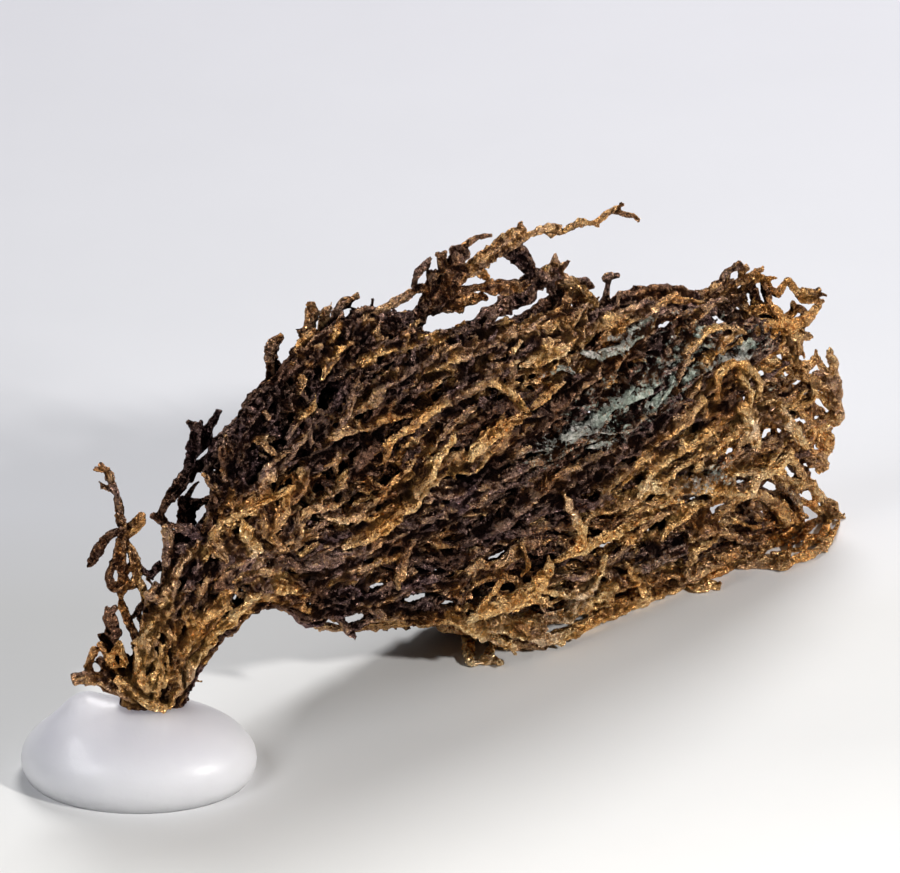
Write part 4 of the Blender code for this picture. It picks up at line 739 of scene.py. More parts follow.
def gold_and_shade_share(across, up):
    """How many of the strands at one point of the slanted plane are gold, with painted light and shade in
    the share.
    """
    total = 0.05
    share = 0.05 * 0.22
    for ellipse in GOLD_AND_SHADE:
        weight = math.exp(-2.0 * within(ellipse[:5], across, up, 0.0)[2])
        total += weight
        share += weight * ellipse[5]
    return share / total


STRAND_CORNERS = 8
LEAF_CORNERS = 6
LEAF_RINGS = 5
CORE_RINGS = 60
RUNNER_RINGS = 60
FEWEST_RINGS = 5


def tapered(shares, end, low, least):
    """Widths along a strand as shares of its fullest width: narrow at both ends, never under `least`."""
    swell = np.sin(math.pi * np.clip(shares, end, 1.0 - end)) ** 0.6
    return np.clip(low + (1.0 - low) * swell, least, 1.0)


class Bundle:
    """Closed tubes along many strands, with what each point of them knows of its strand."""

    def __init__(self, seed):
        self.rng = np.random.default_rng(seed)
        self.points = []
        self.faces = []
        self.count = 0
        self.tangents = []
        self.sides = []
        self.alongs = []
        self.laterals = []
        self.strands = []
        self.tones = []
        self.crusts = []

    def tube(self, centres, wide, thin, roll, corners, along):
        """One closed tube with a keel. `wide` and `thin` are half widths, `roll` turns its broad side."""
        rng = self.rng
        tangents = unit(np.gradient(centres, axis=0))
        normals = unit(AWAY - (tangents @ AWAY)[:, None] * tangents)
        sides = np.cross(tangents, normals)
        turned = np.cos(roll)[:, None] * sides + np.sin(roll)[:, None] * normals
        flat = np.cos(roll)[:, None] * normals - np.sin(roll)[:, None] * sides
        angles = np.arange(corners) * math.tau / corners
        uneven = 1.0 + rng.uniform(-0.16, 0.16, (len(centres), corners))
        keeled = np.sin(angles) * (1.0 - 0.6 * np.abs(np.cos(angles)))
        lateral = np.cos(angles) * uneven * wide[:, None]
        ring = (
            centres[:, None, :]
            + turned[:, None, :] * lateral[:, :, None]
            + flat[:, None, :] * (keeled * uneven * thin[:, None])[:, :, None]
        )
        rings = len(centres)
        start = self.count
        index = start + np.arange(rings * corners).reshape(rings, corners)
        near, far = index[:-1], index[1:]
        quads = np.stack((near, np.roll(near, -1, 1), np.roll(far, -1, 1), far), axis=2).reshape(-1, 4)
        first_cap = start + rings * corners
        last_cap = first_cap + 1
        first = np.stack((np.roll(index[0], -1), index[0], np.full(corners, first_cap)), axis=1)
        last = np.stack((index[-1], np.roll(index[-1], -1), np.full(corners, last_cap)), axis=1)
        self.points.append(np.vstack((ring.reshape(-1, 3), centres[:1], centres[-1:])))
        self.faces.append((quads, np.vstack((first, last))))
        owner = np.concatenate((np.repeat(np.arange(rings), corners), (0, rings - 1)))
        self.tangents.append(tangents[owner])
        self.sides.append(turned[owner])
        self.alongs.append(along[owner])
        self.laterals.append(np.concatenate((lateral.ravel(), (0.0, 0.0))))
        self.strands.append(np.full(len(owner), len(self.tones) - 1))
        self.count += len(owner)
        return turned, flat, tangents

    def any_tone(self, point):
        """A tone at random: gold, brown or plum to black, with more gold where GOLD_AND_SHADE says."""
        pick = self.rng.random()
        across, up = seen(point[None])
        gold = gold_and_shade_share(across[0], up[0])
        if pick < gold:
            return self.rng.uniform(0.58, 0.84)
        if pick < 1.4 * gold + 0.24:
            return self.rng.uniform(0.38, 0.58)
        return self.rng.uniform(0.08, 0.36)

    def strand(self, centres, radius, flatness, roll, leaf_gap, leaf_length, tone=None, crust=None):
        """A keeled ribbon with short side leaves that point towards its tip."""
        rng = self.rng
        distance = np.concatenate(((0.0,), np.cumsum(np.linalg.norm(np.diff(centres, axis=0), axis=1))))
        swell = 1.0 + 0.26 * waves(rng, distance, 3.2) + 0.22 * waves(rng, distance, 1.2)
        wide = radius * swell
        thin = np.maximum(radius * flatness * (1.0 + 0.2 * waves(rng, distance, 1.9)), 0.2)
        turn = roll + 0.5 * waves(rng, distance, 9.0, 2)
        middle = centres[len(centres) // 2]
        across, up = seen(middle[None])
        # Painted light and shade: tones are lifted where the gold share is high and lowered where it is
        # low, region by region.
        regional_tone_and_shade = 0.34 * (gold_and_shade_share(across[0], up[0]) - 0.35)
        self.tones.append((self.any_tone(middle) if tone is None else tone) + regional_tone_and_shade)
        self.crusts.append(rng.uniform(0.3, 1.0) if crust is None else -crust)
        frames = self.tube(centres, wide, thin, turn, STRAND_CORNERS, distance)
        if leaf_gap > 0:
            self.leaves(centres, distance, frames, wide, leaf_gap, leaf_length)

    def leaves(self, centres, distance, frames, wide, gap, length):
        rng = self.rng
        turned, flat, tangents = frames
        reach = rng.uniform(0.2, 1.2)
        side = 1.0
        while reach < distance[-1] - 0.2:
            here = min(int(np.searchsorted(distance, reach)), len(distance) - 1)
            side = -side if rng.random() < 0.75 else side
            lean = math.radians(rng.uniform(12.0, 44.0))
            out = side * turned[here] + rng.uniform(-0.7, 0.7) * flat[here]
            heading = unit(math.cos(lean) * tangents[here] + math.sin(lean) * unit(out))
            long = length * rng.uniform(0.5, 1.5) * (0.5 + wide[here])
            steps = np.linspace(0.0, 1.0, LEAF_RINGS)
            bend = unit(tangents[here] * rng.uniform(-0.2, 0.9) + flat[here] * rng.uniform(-0.5, 0.5))
            line = (
                centres[here]
                + heading * (long * steps)[:, None]
                + bend * (0.35 * long * steps**2)[:, None]
            )
            thick = 0.5 * wide[here] * (1.0 - 0.55 * steps) + 0.07
            reach += gap * rng.uniform(0.5, 1.6)
            if clear_of_openings(line):
                broad = thick * rng.uniform(1.1, 1.8)
                roll = np.full(LEAF_RINGS, rng.uniform(-1.2, 1.2))
                thin = np.maximum(thick * 0.6, 0.16)
                self.tube(line, broad, thin, roll, LEAF_CORNERS, distance[here] + long * steps)

    def placed(self, strands, leaf_gap=1.0):
        for offset, tone, points in strands:
            line, distance, shares = self.followed(np.array(points)[:, :2], 0.07)
            radius = through(points, shares)[:, 2]
            depth = sheet_depth(line[:, 0]) + offset + 0.2 * waves(self.rng, distance, 3.0)
            centres = place(line[:, 0], line[:, 1], depth, radius)
            self.strand(centres, radius, 0.8, self.rng.uniform(-0.7, 0.7), leaf_gap, 0.75, tone)

    def followed(self, points, kink):
        """A slightly kinked line through placed points, with the distance and the share along it."""
        rough = np.asarray(points, float)
        length = np.linalg.norm(np.diff(rough, axis=0), axis=1).sum()
        shares = np.linspace(0.0, 1.0, max(int(length / 0.34), 6))
        distance = shares * length
        line = through(rough, shares)
        line[:, 0] += kink * waves(self.rng, distance, 2.2)
        line[:, 1] += kink * waves(self.rng, distance, 2.2)
        return line, distance, shares

    def ribbons(self, first_rib, last_rib):
        """The placed ribbons whose middles lie between two ribs."""
        rng = self.rng
        for share, width, flatness, tone, crust, points in RIBBONS:
            line, distance, shares = self.followed(points, 0.1)
            address = np.array([fan_address(*point) for point in line[::3]])
            rib = address[len(address) // 2][0]
            if not first_rib <= rib < last_rib:
                continue
            ribs = np.interp(shares, np.linspace(0, 1, len(address)), address[:, 0])
            stations = np.interp(shares, np.linspace(0, 1, len(address)), address[:, 1])
            radius = width * tapered(shares, 0.03, 0.3, 0.25)
            depth = sheet_depth(line[:, 0]) + share * half_thickness(ribs, stations)
            depth += 0.25 * waves(rng, distance, 5.0)
            centres = place(line[:, 0], line[:, 1], depth, radius)
            self.strand(centres, radius, flatness, rng.uniform(-0.35, 0.35), 0.9, 0.8, tone, crust)

    def fan(self, ribs, count, first_station, last_station, radii, leaf_gap, leaf_length):
        """Ribbons that follow the fan between two ribs, rise out of its front or back and end in tips."""
        rng = self.rng
        for number in range(count):
            start = first_station
            if number % 4:
                start = first_station + (last_station - 1.0 - first_station) * rng.random() ** 0.85
            rib = ribs[0] + (ribs[1] - ribs[0]) * ((number * EVEN_STEP + rng.uniform(-0.05, 0.05)) % 1.0)
            in_knob = start < KNOB_STATION and rib > KNOB_RIB
            reach = rng.uniform(0.7, 2.0) if in_knob else rng.uniform(1.0, 3.2)
            end = min(start + reach, last_station - 0.3 * rng.random())
            if rib < RIM_RIB:
                end = min(end, RIM_STATION)
            if end - start < 0.4:
                continue
            guess = fan_points(np.array((rib, rib)), np.array((start, end)))
            side = -1.0 if rng.random() < 0.62 and not is_bare(guess.mean(axis=0)) else 1.0
            length = np.linalg.norm(guess[1] - guess[0]) * 1.15
            shares = np.linspace(0.0, 1.0, max(int(length / 0.42), 10))
            distance = shares * length
            stations = start + (end - start) * shares
            drift = rng.normal(0.0, 0.55)
            track = rib + drift * (shares - 0.5) + 0.10 * waves(rng, distance, 14.0, 2)
            track = np.clip(track, max(ribs[0] - 0.15, 0.16), min(ribs[1] + 0.15, LAST_RIB - 0.6))
            points = fan_points(track, stations)
            widest = radii[0] + (radii[1] - radii[0]) * rng.random() ** 1.7
            radius = widest * tapered(shares, 0.02, 0.25, 0.5)
            across = points[:, 0] + 0.3 * waves(rng, distance, 6.0) + 0.06 * waves(rng, distance, 1.8)
            up = points[:, 1] + 0.3 * waves(rng, distance, 6.0) + 0.06 * waves(rng, distance, 1.8)
            rise = np.clip(shares / rng.uniform(0.25, 0.6), 0.0, 1.0)
            low = rng.uniform(0.25, 0.55)
            layers = low + (rng.uniform(0.72, 1.06) - low) * rise * rise * (3 - 2 * rise)
            depth = side * layers * half_thickness(track, stations) + 0.35 * waves(rng, distance, 6.0)
            self.grown(across, up, depth, radius, rng.uniform(0.35, 0.7), leaf_gap, leaf_length)

    def flakes(self, ribs, count, first_station, last_station):
        """Short pointed leaves on the fan's front and back, sunk at the root and lifted at the tip."""
        rng = self.rng
        for number in range(count):
            station = first_station + (last_station - 0.5 - first_station) * rng.random() ** 0.85
            rib = rng.uniform(max(ribs[0], 0.2), min(ribs[1], LAST_RIB - 0.9))
            here, ahead = fan_points(np.array((rib, rib)), np.array((station, station + 0.1)))
            heading = math.atan2(ahead[1] - here[1], ahead[0] - here[0])
            in_turn = station < TURN_STATION and rib > KNOB_RIB
            heading += math.radians(rng.normal(0.0, 36.0 if in_turn else 16.0))
            at_edge = rib < 0.8 or rib > 5.6
            if at_edge and station > RIM_STATION - 0.4:
                continue
            length = rng.uniform(1.8, 3.4) if at_edge else rng.uniform(2.0, 6.0)
            shares = np.linspace(0.0, 1.0, max(int(length / 0.34), 6))
            angles = heading + rng.normal(0.0, 0.7) * (shares - 0.5)
            across = here[0] + np.cumsum(np.cos(angles)) * length / len(shares)
            up = here[1] + np.cumsum(np.sin(angles)) * length / len(shares)
            side = -1.0 if rng.random() < 0.64 and not is_bare(here) else 1.0
            half = float(half_thickness(rib, station))
            lift = np.sin(0.5 * math.pi * np.clip(1.4 * shares, 0.0, 1.0))
            layers = rng.uniform(0.3, 0.55) + 0.45 * lift
            depth = side * (half * layers + rng.uniform(-0.3, 0.9) * shares**2)
            width = rng.uniform(0.27, 0.4) + 0.7 * rng.random() ** 2.6
            radius = width * np.clip(np.sin(math.pi * np.clip(shares, 0.08, 0.97) ** 0.75), 0.5, 1.0)
            self.grown(across, up, depth, radius, rng.uniform(0.35, 0.7), 1.0, 0.7)

    def grown(self, across, up, depth, radius, flatness, leaf_gap, leaf_length):
        """A strand led round the openings, ended at the fan's edge. `depth` counts from the mid-sheet."""
        across, up = round_openings(across, up, radius)
        kept = open_length(across, up)
        if kept < FEWEST_RINGS:
            return
        centres = place(across, up, sheet_depth(across) + depth, radius)[:kept]
        roll = self.rng.uniform(-0.9, 0.9)
        self.strand(centres, radius[:kept], flatness, roll, leaf_gap, leaf_length)

    def core(self, ribs, first_station, last_station, radius):
        """Thick strands inside the fan that its fine ones grow out of, near black as painted shade in the
        gaps that show them.
        """
        low = max(ribs[0] + 0.12, 0.3)
        high = min(ribs[1] - 0.12, LAST_RIB - 0.7)
        spread = max(int(round((high - low) / 0.3)), 2)
        stations = np.linspace(first_station, last_station, CORE_RINGS)
        beyond = int((stations < THICK_STATION).sum())
        for rib in np.linspace(low, high, spread):
            row = np.full(CORE_RINGS, rib)
            points = fan_points(row, stations if rib > RIM_RIB else np.minimum(stations, RIM_STATION))
            size = radius * np.interp(stations, (first_station, 3.0, 5.6, 7.0), (0.7, 1.0, 0.8, 0.4))
            across, up = round_openings(points[:, 0], points[:, 1], size)
            kept = open_length(across, up)
            for layer, first in ((-CORE_LAYER, 0), (0.0, beyond), (CORE_LAYER, 0)):
                depth = sheet_depth(across) + layer * half_thickness(row, stations)
                centres = place(across, up, depth, size)[first:kept]
                if len(centres) >= FEWEST_RINGS:
                    # Tone 0.04 paints these strands near black: painted shade in the gaps.
                    self.strand(centres, size[first:kept], 0.9, 0.0, 0.0, 0.0, 0.04, 0.0)


def lattice(cells, seed):
    """A repeatable random number from 0 to 1 for each whole-number cell."""
    scrambled = (
        cells[..., 0].astype(np.int64) * 73856093
        ^ cells[..., 1].astype(np.int64) * 19349663
        ^ cells[..., 2].astype(np.int64) * 83492791
        ^ seed * 2654435761
    )
    scrambled = (scrambled ^ (scrambled >> 13)) * 1274126177
    scrambled = (scrambled ^ (scrambled >> 16)) & 0xFFFFFF
    return scrambled / float(0xFFFFFF)


def noise(points, scale, seed):
    """Smooth noise from -1 to 1 with features about `scale` millimetres wide."""
    grid = points / scale
    cell = np.floor(grid)
    t = grid - cell
    t = t * t * (3 - 2 * t)
    total = np.zeros(len(points))
    for corner in np.ndindex(2, 2, 2):
        offset = np.array(corner)
        weight = np.prod(np.where(offset, t, 1 - t), axis=1)
        total += weight * lattice(cell + offset, seed)
    return 2 * total - 1


def new_object(name, points, quads, triangles):
    mesh = bpy.data.meshes.new(name)
    mesh.vertices.add(len(points))
    mesh.vertices.foreach_set("co", (points * MM).astype(np.float32).ravel())
    corners = np.concatenate((quads.ravel(), triangles.ravel())).astype(np.int32)
    mesh.loops.add(len(corners))
    mesh.loops.foreach_set("vertex_index", corners)
    sizes = np.concatenate((np.full(len(quads), 4), np.full(len(triangles), 3)))
    starts = np.concatenate(((0,), np.cumsum(sizes)[:-1])).astype(np.int32)
    mesh.polygons.add(len(sizes))
    mesh.polygons.foreach_set("loop_start", starts)
    mesh.update(calc_edges=True)
    made = bpy.data.objects.new(name, mesh)
    bpy.context.scene.collection.objects.link(made)
    return made


def evaluated(made):
    graph = bpy.context.evaluated_depsgraph_get()
    mesh = bpy.data.meshes.new_from_object(made.evaluated_get(graph))
    made.modifiers.clear()
    old = made.data
    made.data = mesh
    bpy.data.meshes.remove(old)


def vertex_array(mesh, name="co"):
    values = np.empty(len(mesh.vertices) * 3, np.float32)
    mesh.vertices.foreach_get(name, values)
    return values.reshape(-1, 3).astype(float)


def edge_array(mesh):
    ends = np.empty(len(mesh.edges) * 2, np.int32)
    mesh.edges.foreach_get("vertices", ends)
    return ends.reshape(-1, 2)


def without_loose_pieces(made):
    """Keeps the largest connected skin and drops specks and sealed hollows."""
    mesh = made.data
    ends = edge_array(mesh)
    label = np.arange(len(mesh.vertices))
    while True:
        low = np.minimum(label[ends[:, 0]], label[ends[:, 1]])
        before = label.copy()
        np.minimum.at(label, ends[:, 0], low)
        np.minimum.at(label, ends[:, 1], low)
        label = label[label]
        if (label == before).all():
            break
    names, counts = np.unique(label, return_counts=True)
    keep = label == names[counts.argmax()]
    faces = len(mesh.polygons)
    starts = np.empty(faces, np.int32)
    sizes = np.empty(faces, np.int32)
    mesh.polygons.foreach_get("loop_start", starts)
    mesh.polygons.foreach_get("loop_total", sizes)
    corners = np.empty(len(mesh.loops), np.int32)
    mesh.loops.foreach_get("vertex_index", corners)
    new_index = np.cumsum(keep) - 1
    points = vertex_array(mesh)[keep] / MM
    kept_quads = starts[(sizes == 4) & keep[corners[starts]]]
    kept_triangles = starts[(sizes == 3) & keep[corners[starts]]]
    quads = new_index[corners[kept_quads[:, None] + np.arange(4)]]
    triangles = new_index[corners[kept_triangles[:, None] + np.arange(3)]]
    name = made.name
    bpy.data.objects.remove(made)
    bpy.data.meshes.remove(mesh)
    return new_object(name, points, quads, triangles)


def nearest_strand(bundle, points):
    """For each point: its strand, the distance along it and how far to the side of its middle it is."""
    corners = np.vstack(bundle.points)
    tree = kdtree.KDTree(len(corners))
    for number, corner in enumerate(corners):
        tree.insert(corner, number)
    tree.balance()
    found = np.array([tree.find(point)[1] for point in points])
    offset = points - corners[found]
    along = np.einsum("ij,ij->i", offset, np.vstack(bundle.tangents)[found])
    lateral = np.einsum("ij,ij->i", offset, np.vstack(bundle.sides)[found])
    along += np.concatenate(bundle.alongs)[found]
    lateral += np.concatenate(bundle.laterals)[found]
    return np.concatenate(bundle.strands)[found], along, lateral


STRAND_SHIFT = 40.0


def roughened(made, found, seed, chevron, grain):
    """Moves the skin in and out: ridges along the strands, ridges slanted to their tips, small facets."""
    mesh = made.data
    points = vertex_array(mesh) / MM
    normals = vertex_array(mesh, "normal")
    strands, along, lateral = found
    own = lattice(np.stack((strands, strands * 0, strands * 0), axis=1), seed)
    warped = along + 0.5 * noise(points, 1.1, seed + 1)
    shift = own * STRAND_SHIFT
    folds = noise(np.stack((warped / 3.4, lateral / 0.55, shift), axis=1), 1.0, seed + 4)
    period = 0.9 + 0.9 * own
    phase = (warped - 0.9 * np.abs(lateral)) / period + own * 7
    saw = np.abs((phase % 1.0) - 0.35) / 0.65
    height = chevron * (0.5 - saw) * (0.3 + own)
    height += 2.4 * grain * (0.3 - np.abs(folds))
    height += 0.7 * grain * noise(points, 0.9, seed + 2)
    number = np.arange(len(points))
    height += 0.9 * grain * (lattice(np.stack((number, number, number), axis=1), seed + 3) - 0.5)
    moved = points + normals * height[:, None]
    moved[:, 2] = np.maximum(moved[:, 2], 0.02)
    mesh.vertices.foreach_set("co", (moved * MM).astype(np.float32).ravel())
    mesh.update()
    flow = mesh.attributes.new("flow", "FLOAT_VECTOR", "POINT")
    flow.data.foreach_set("vector", np.stack((along, lateral, shift), axis=1).astype(np.float32).ravel())


def spread_out(values, ends, count, rounds):
    """Averages values over neighbours."""
    degree = np.bincount(ends.ravel(), minlength=count).astype(float)
    for _ in range(rounds):
        total = np.zeros_like(values)
        for axis in range(values.shape[1]):
            total[:, axis] = np.bincount(ends[:, 0], values[ends[:, 1], axis], count)
            total[:, axis] += np.bincount(ends[:, 1], values[ends[:, 0], axis], count)
        values = 0.3 * values + 0.7 * total / degree[:, None]
    return values


def add_attribute(mesh, name, values):
    attribute = mesh.attributes.new(name, "FLOAT", "POINT")
    attribute.data.foreach_set("value", values.astype(np.float32))


# Where verdigris lies: (across, up, half width along the fan, half width across it, strength).
VERDIGRIS = (
    (46.0, 35.5, 7.0, 3.2, 1.0),
    (52.0, 39.5, 6.0, 3.0, 1.0),
    (56.0, 42.5, 5.0, 2.6, 1.0),
    (42.0, 33.0, 5.0, 2.0, 0.7),
    (50.5, 43.5, 4.0, 1.6, 0.7),
    (61.0, 43.0, 4.0, 2.0, 0.7),
    (56.5, 29.0, 4.0, 1.6, 0.8),
    (65.0, 48.5, 1.5, 1.0, 0.4),
)
FLOW_ANGLE = math.radians(33.0)
# The grid that measures how much metal stands in front of each point, for the painted shade in gaps.
CROWD_CELL = 0.5
CROWD_FULL = 6.0
CROWD_MARGIN = 4.0
CROWD_PERCENTILE = 90
CROWD_STEPS = (0.9, 1.8, 2.9)


def verdigris_mask(points):
    across, up = seen(points)
    mask = np.zeros(len(points))
    for centre_across, centre_up, long, wide, strength in VERDIGRIS:
        x = across - centre_across
        y = up - centre_up
        along = (x * math.cos(FLOW_ANGLE) + y * math.sin(FLOW_ANGLE)) / long
        beside = (y * math.cos(FLOW_ANGLE) - x * math.sin(FLOW_ANGLE)) / wide
        mask = np.maximum(mask, strength * np.exp(-(along**2 + beside**2)))
    return mask


def painted(made, bundle, found, seed):
    """Stores what the material reads: tone, verdigris, and how the skin bends, which gives wear and
    painted sheen on ridges and painted shade in hollows.
    """
    mesh = made.data
    points = vertex_array(mesh) / MM
    normals = vertex_array(mesh, "normal")
    ends = edge_array(mesh)
    strands = found[0]
    tone = np.array(bundle.tones)[strands]
    crust = np.array(bundle.crusts)[strands]
    near = spread_out(points, ends, len(points), 5)
    far = spread_out(near, ends, len(points), 24)
    fine = np.einsum("ij,ij->i", points - near, normals)
    broad = np.einsum("ij,ij->i", near - far, normals)
    tone = tone + 0.12 * noise(points, 3.0, seed + 6)
    tone = np.stack((tone, np.where(crust < 0, -crust, crust * verdigris_mask(points))), axis=1)
    tone = spread_out(tone, ends, len(points), 1)
    add_attribute(mesh, "tone", np.clip(tone[:, 0], 0.0, 1.0))
    # Fine and broad bending: the material paints sheen on ridges and shade in hollows from these.
    add_attribute(mesh, "edge", np.clip(0.5 + fine / 0.12, 0.0, 1.0))
    add_attribute(mesh, "depth", np.clip(0.5 + broad / 0.6, 0.0, 1.0))
    add_attribute(mesh, "green", np.clip(tone[:, 1], 0.0, 1.0))


def painted_gap_shade(pieces):
    """Stores how much metal stands in front of each point, 0 on open ridges and 1 in gaps, for painted
    shade.
    """
    clouds = [vertex_array(piece.data) / MM for piece in pieces]
    low = np.min([cloud.min(axis=0) for cloud in clouds], axis=0) - CROWD_MARGIN
    high = np.max([cloud.max(axis=0) for cloud in clouds], axis=0) + CROWD_MARGIN
    shape = np.ceil((high - low) / CROWD_CELL).astype(int) + 1
    grid = np.zeros(shape)
    for cloud in clouds:
        cells = ((cloud - low) / CROWD_CELL).astype(int)
        np.add.at(grid, tuple(cells.T), 1.0)
    grid = np.minimum(grid, np.percentile(grid[grid > 0], CROWD_PERCENTILE))
    for axis in range(3):
        for _ in range(3):
            grid = (grid + np.roll(grid, 1, axis) + np.roll(grid, -1, axis)) / 3
    for piece, cloud in zip(pieces, clouds):
        normals = vertex_array(piece.data, "normal")
        gap_shade_amount = np.zeros(len(cloud))
        for step in CROWD_STEPS:
            cells = np.clip(((cloud + step * normals - low) / CROWD_CELL).astype(int), 0, shape - 1)
            gap_shade_amount += grid[tuple(cells.T)] / len(CROWD_STEPS)
        add_attribute(piece.data, "gap_shade_amount", gap_shade_amount / CROWD_FULL)


def finished(name, bundle, voxel, triangles, chevron, grain, seed):
    """The fused, roughened and painted skin of a bundle, as the piece that stands for the node."""
    points = np.vstack(bundle.points)
    quads = np.vstack([pair[0] for pair in bundle.faces])
    caps = np.vstack([pair[1] for pair in bundle.faces])
    made = new_object(name, points, quads, caps)
    remesh = made.modifiers.new("fuse", "REMESH")
    remesh.mode = "VOXEL"
    remesh.voxel_size = voxel * MM
    evaluated(made)
    made = without_loose_pieces(made)
    dense = len(made.data.polygons)
    if dense * 2 > triangles:
        decimate = made.modifiers.new("thin", "DECIMATE")
        decimate.ratio = triangles / (dense * 2)
        evaluated(made)
    found = nearest_strand(bundle, vertex_array(made.data) / MM)
    roughened(made, found, seed, chevron, grain)
    painted(made, bundle, found, seed)
    made.data.shade_flat()
    made.data.transform(TO_FRAME)
    print(name, "fused", dense, "kept", len(made.data.polygons))
    return made


TO_FRAME = Matrix.Translation(Vector(BASE * MM))


# Materials.
def node_tree(material):
    material.use_nodes = True
    tree = material.node_tree
    tree.nodes.clear()
    return tree


def add_node(tree, kind, settings=None, inputs=None):
    node = tree.nodes.new(kind)
    for key, value in (settings or {}).items():
        setattr(node, key, value)
    for key, value in (inputs or {}).items():
        if isinstance(value, bpy.types.NodeSocket):
            tree.links.new(value, node.inputs[key])
        else:
            node.inputs[key].default_value = value
    return node


def ramp(tree, factor, stops):
    node = add_node(tree, "ShaderNodeValToRGB", inputs={"Fac": factor})
    elements = node.color_ramp.elements
    while len(elements) < len(stops):
        elements.new(0.5)
    for element, (position, colour) in zip(elements, stops):
        element.position = position
        element.color = (*colour, 1.0)
    return node.outputs["Color"]


def mixed(tree, factor, first, second, blend="MIX"):
    node = add_node(tree, "ShaderNodeMix", {"data_type": "RGBA", "blend_type": blend})
    for socket, value in ((0, factor), (6, first), (7, second)):
        if isinstance(value, bpy.types.NodeSocket):
            tree.links.new(value, node.inputs[socket])
        elif isinstance(value, (int, float)):
            node.inputs[socket].default_value = value
        else:
            node.inputs[socket].default_value = (*value, 1.0)
    return node.outputs[2]


def maths(tree, operation, first, second, clamp=False):
    settings = {"operation": operation, "use_clamp": clamp}
    return add_node(tree, "ShaderNodeMath", settings, {0: first, 1: second}).outputs[0]


def plus(tree, first, second, clamp=False):
    return maths(tree, "ADD", first, second, clamp)


def minus(tree, first, second, clamp=False):
    return maths(tree, "SUBTRACT", first, second, clamp)


def times(tree, first, second, clamp=False):
    return maths(tree, "MULTIPLY", first, second, clamp)


def larger(tree, first, second):
    return maths(tree, "MAXIMUM", first, second)


def surfaced(tree, base, settings):
    """A principled shader, led to the material's output."""
    shader = add_node(tree, "ShaderNodeBsdfPrincipled", inputs={"Base Color": base, **settings})
    output = add_node(tree, "ShaderNodeOutputMaterial")
    tree.links.new(shader.outputs["BSDF"], output.inputs["Surface"])


def attribute(tree, name):
    return add_node(tree, "ShaderNodeAttribute", {"attribute_name": name}).outputs["Fac"]


def noise_node(tree, scale, detail=4.0, roughness=0.6, kind="ShaderNodeTexNoise"):
    coordinates = add_node(tree, "ShaderNodeTexCoord").outputs["Object"]
    node = add_node(tree, kind, inputs={"Vector": coordinates, "Scale": scale})
    if kind == "ShaderNodeTexNoise":
        node.inputs["Detail"].default_value = detail
        node.inputs["Roughness"].default_value = roughness
        return node.outputs["Fac"]
    return node.outputs["Distance"]


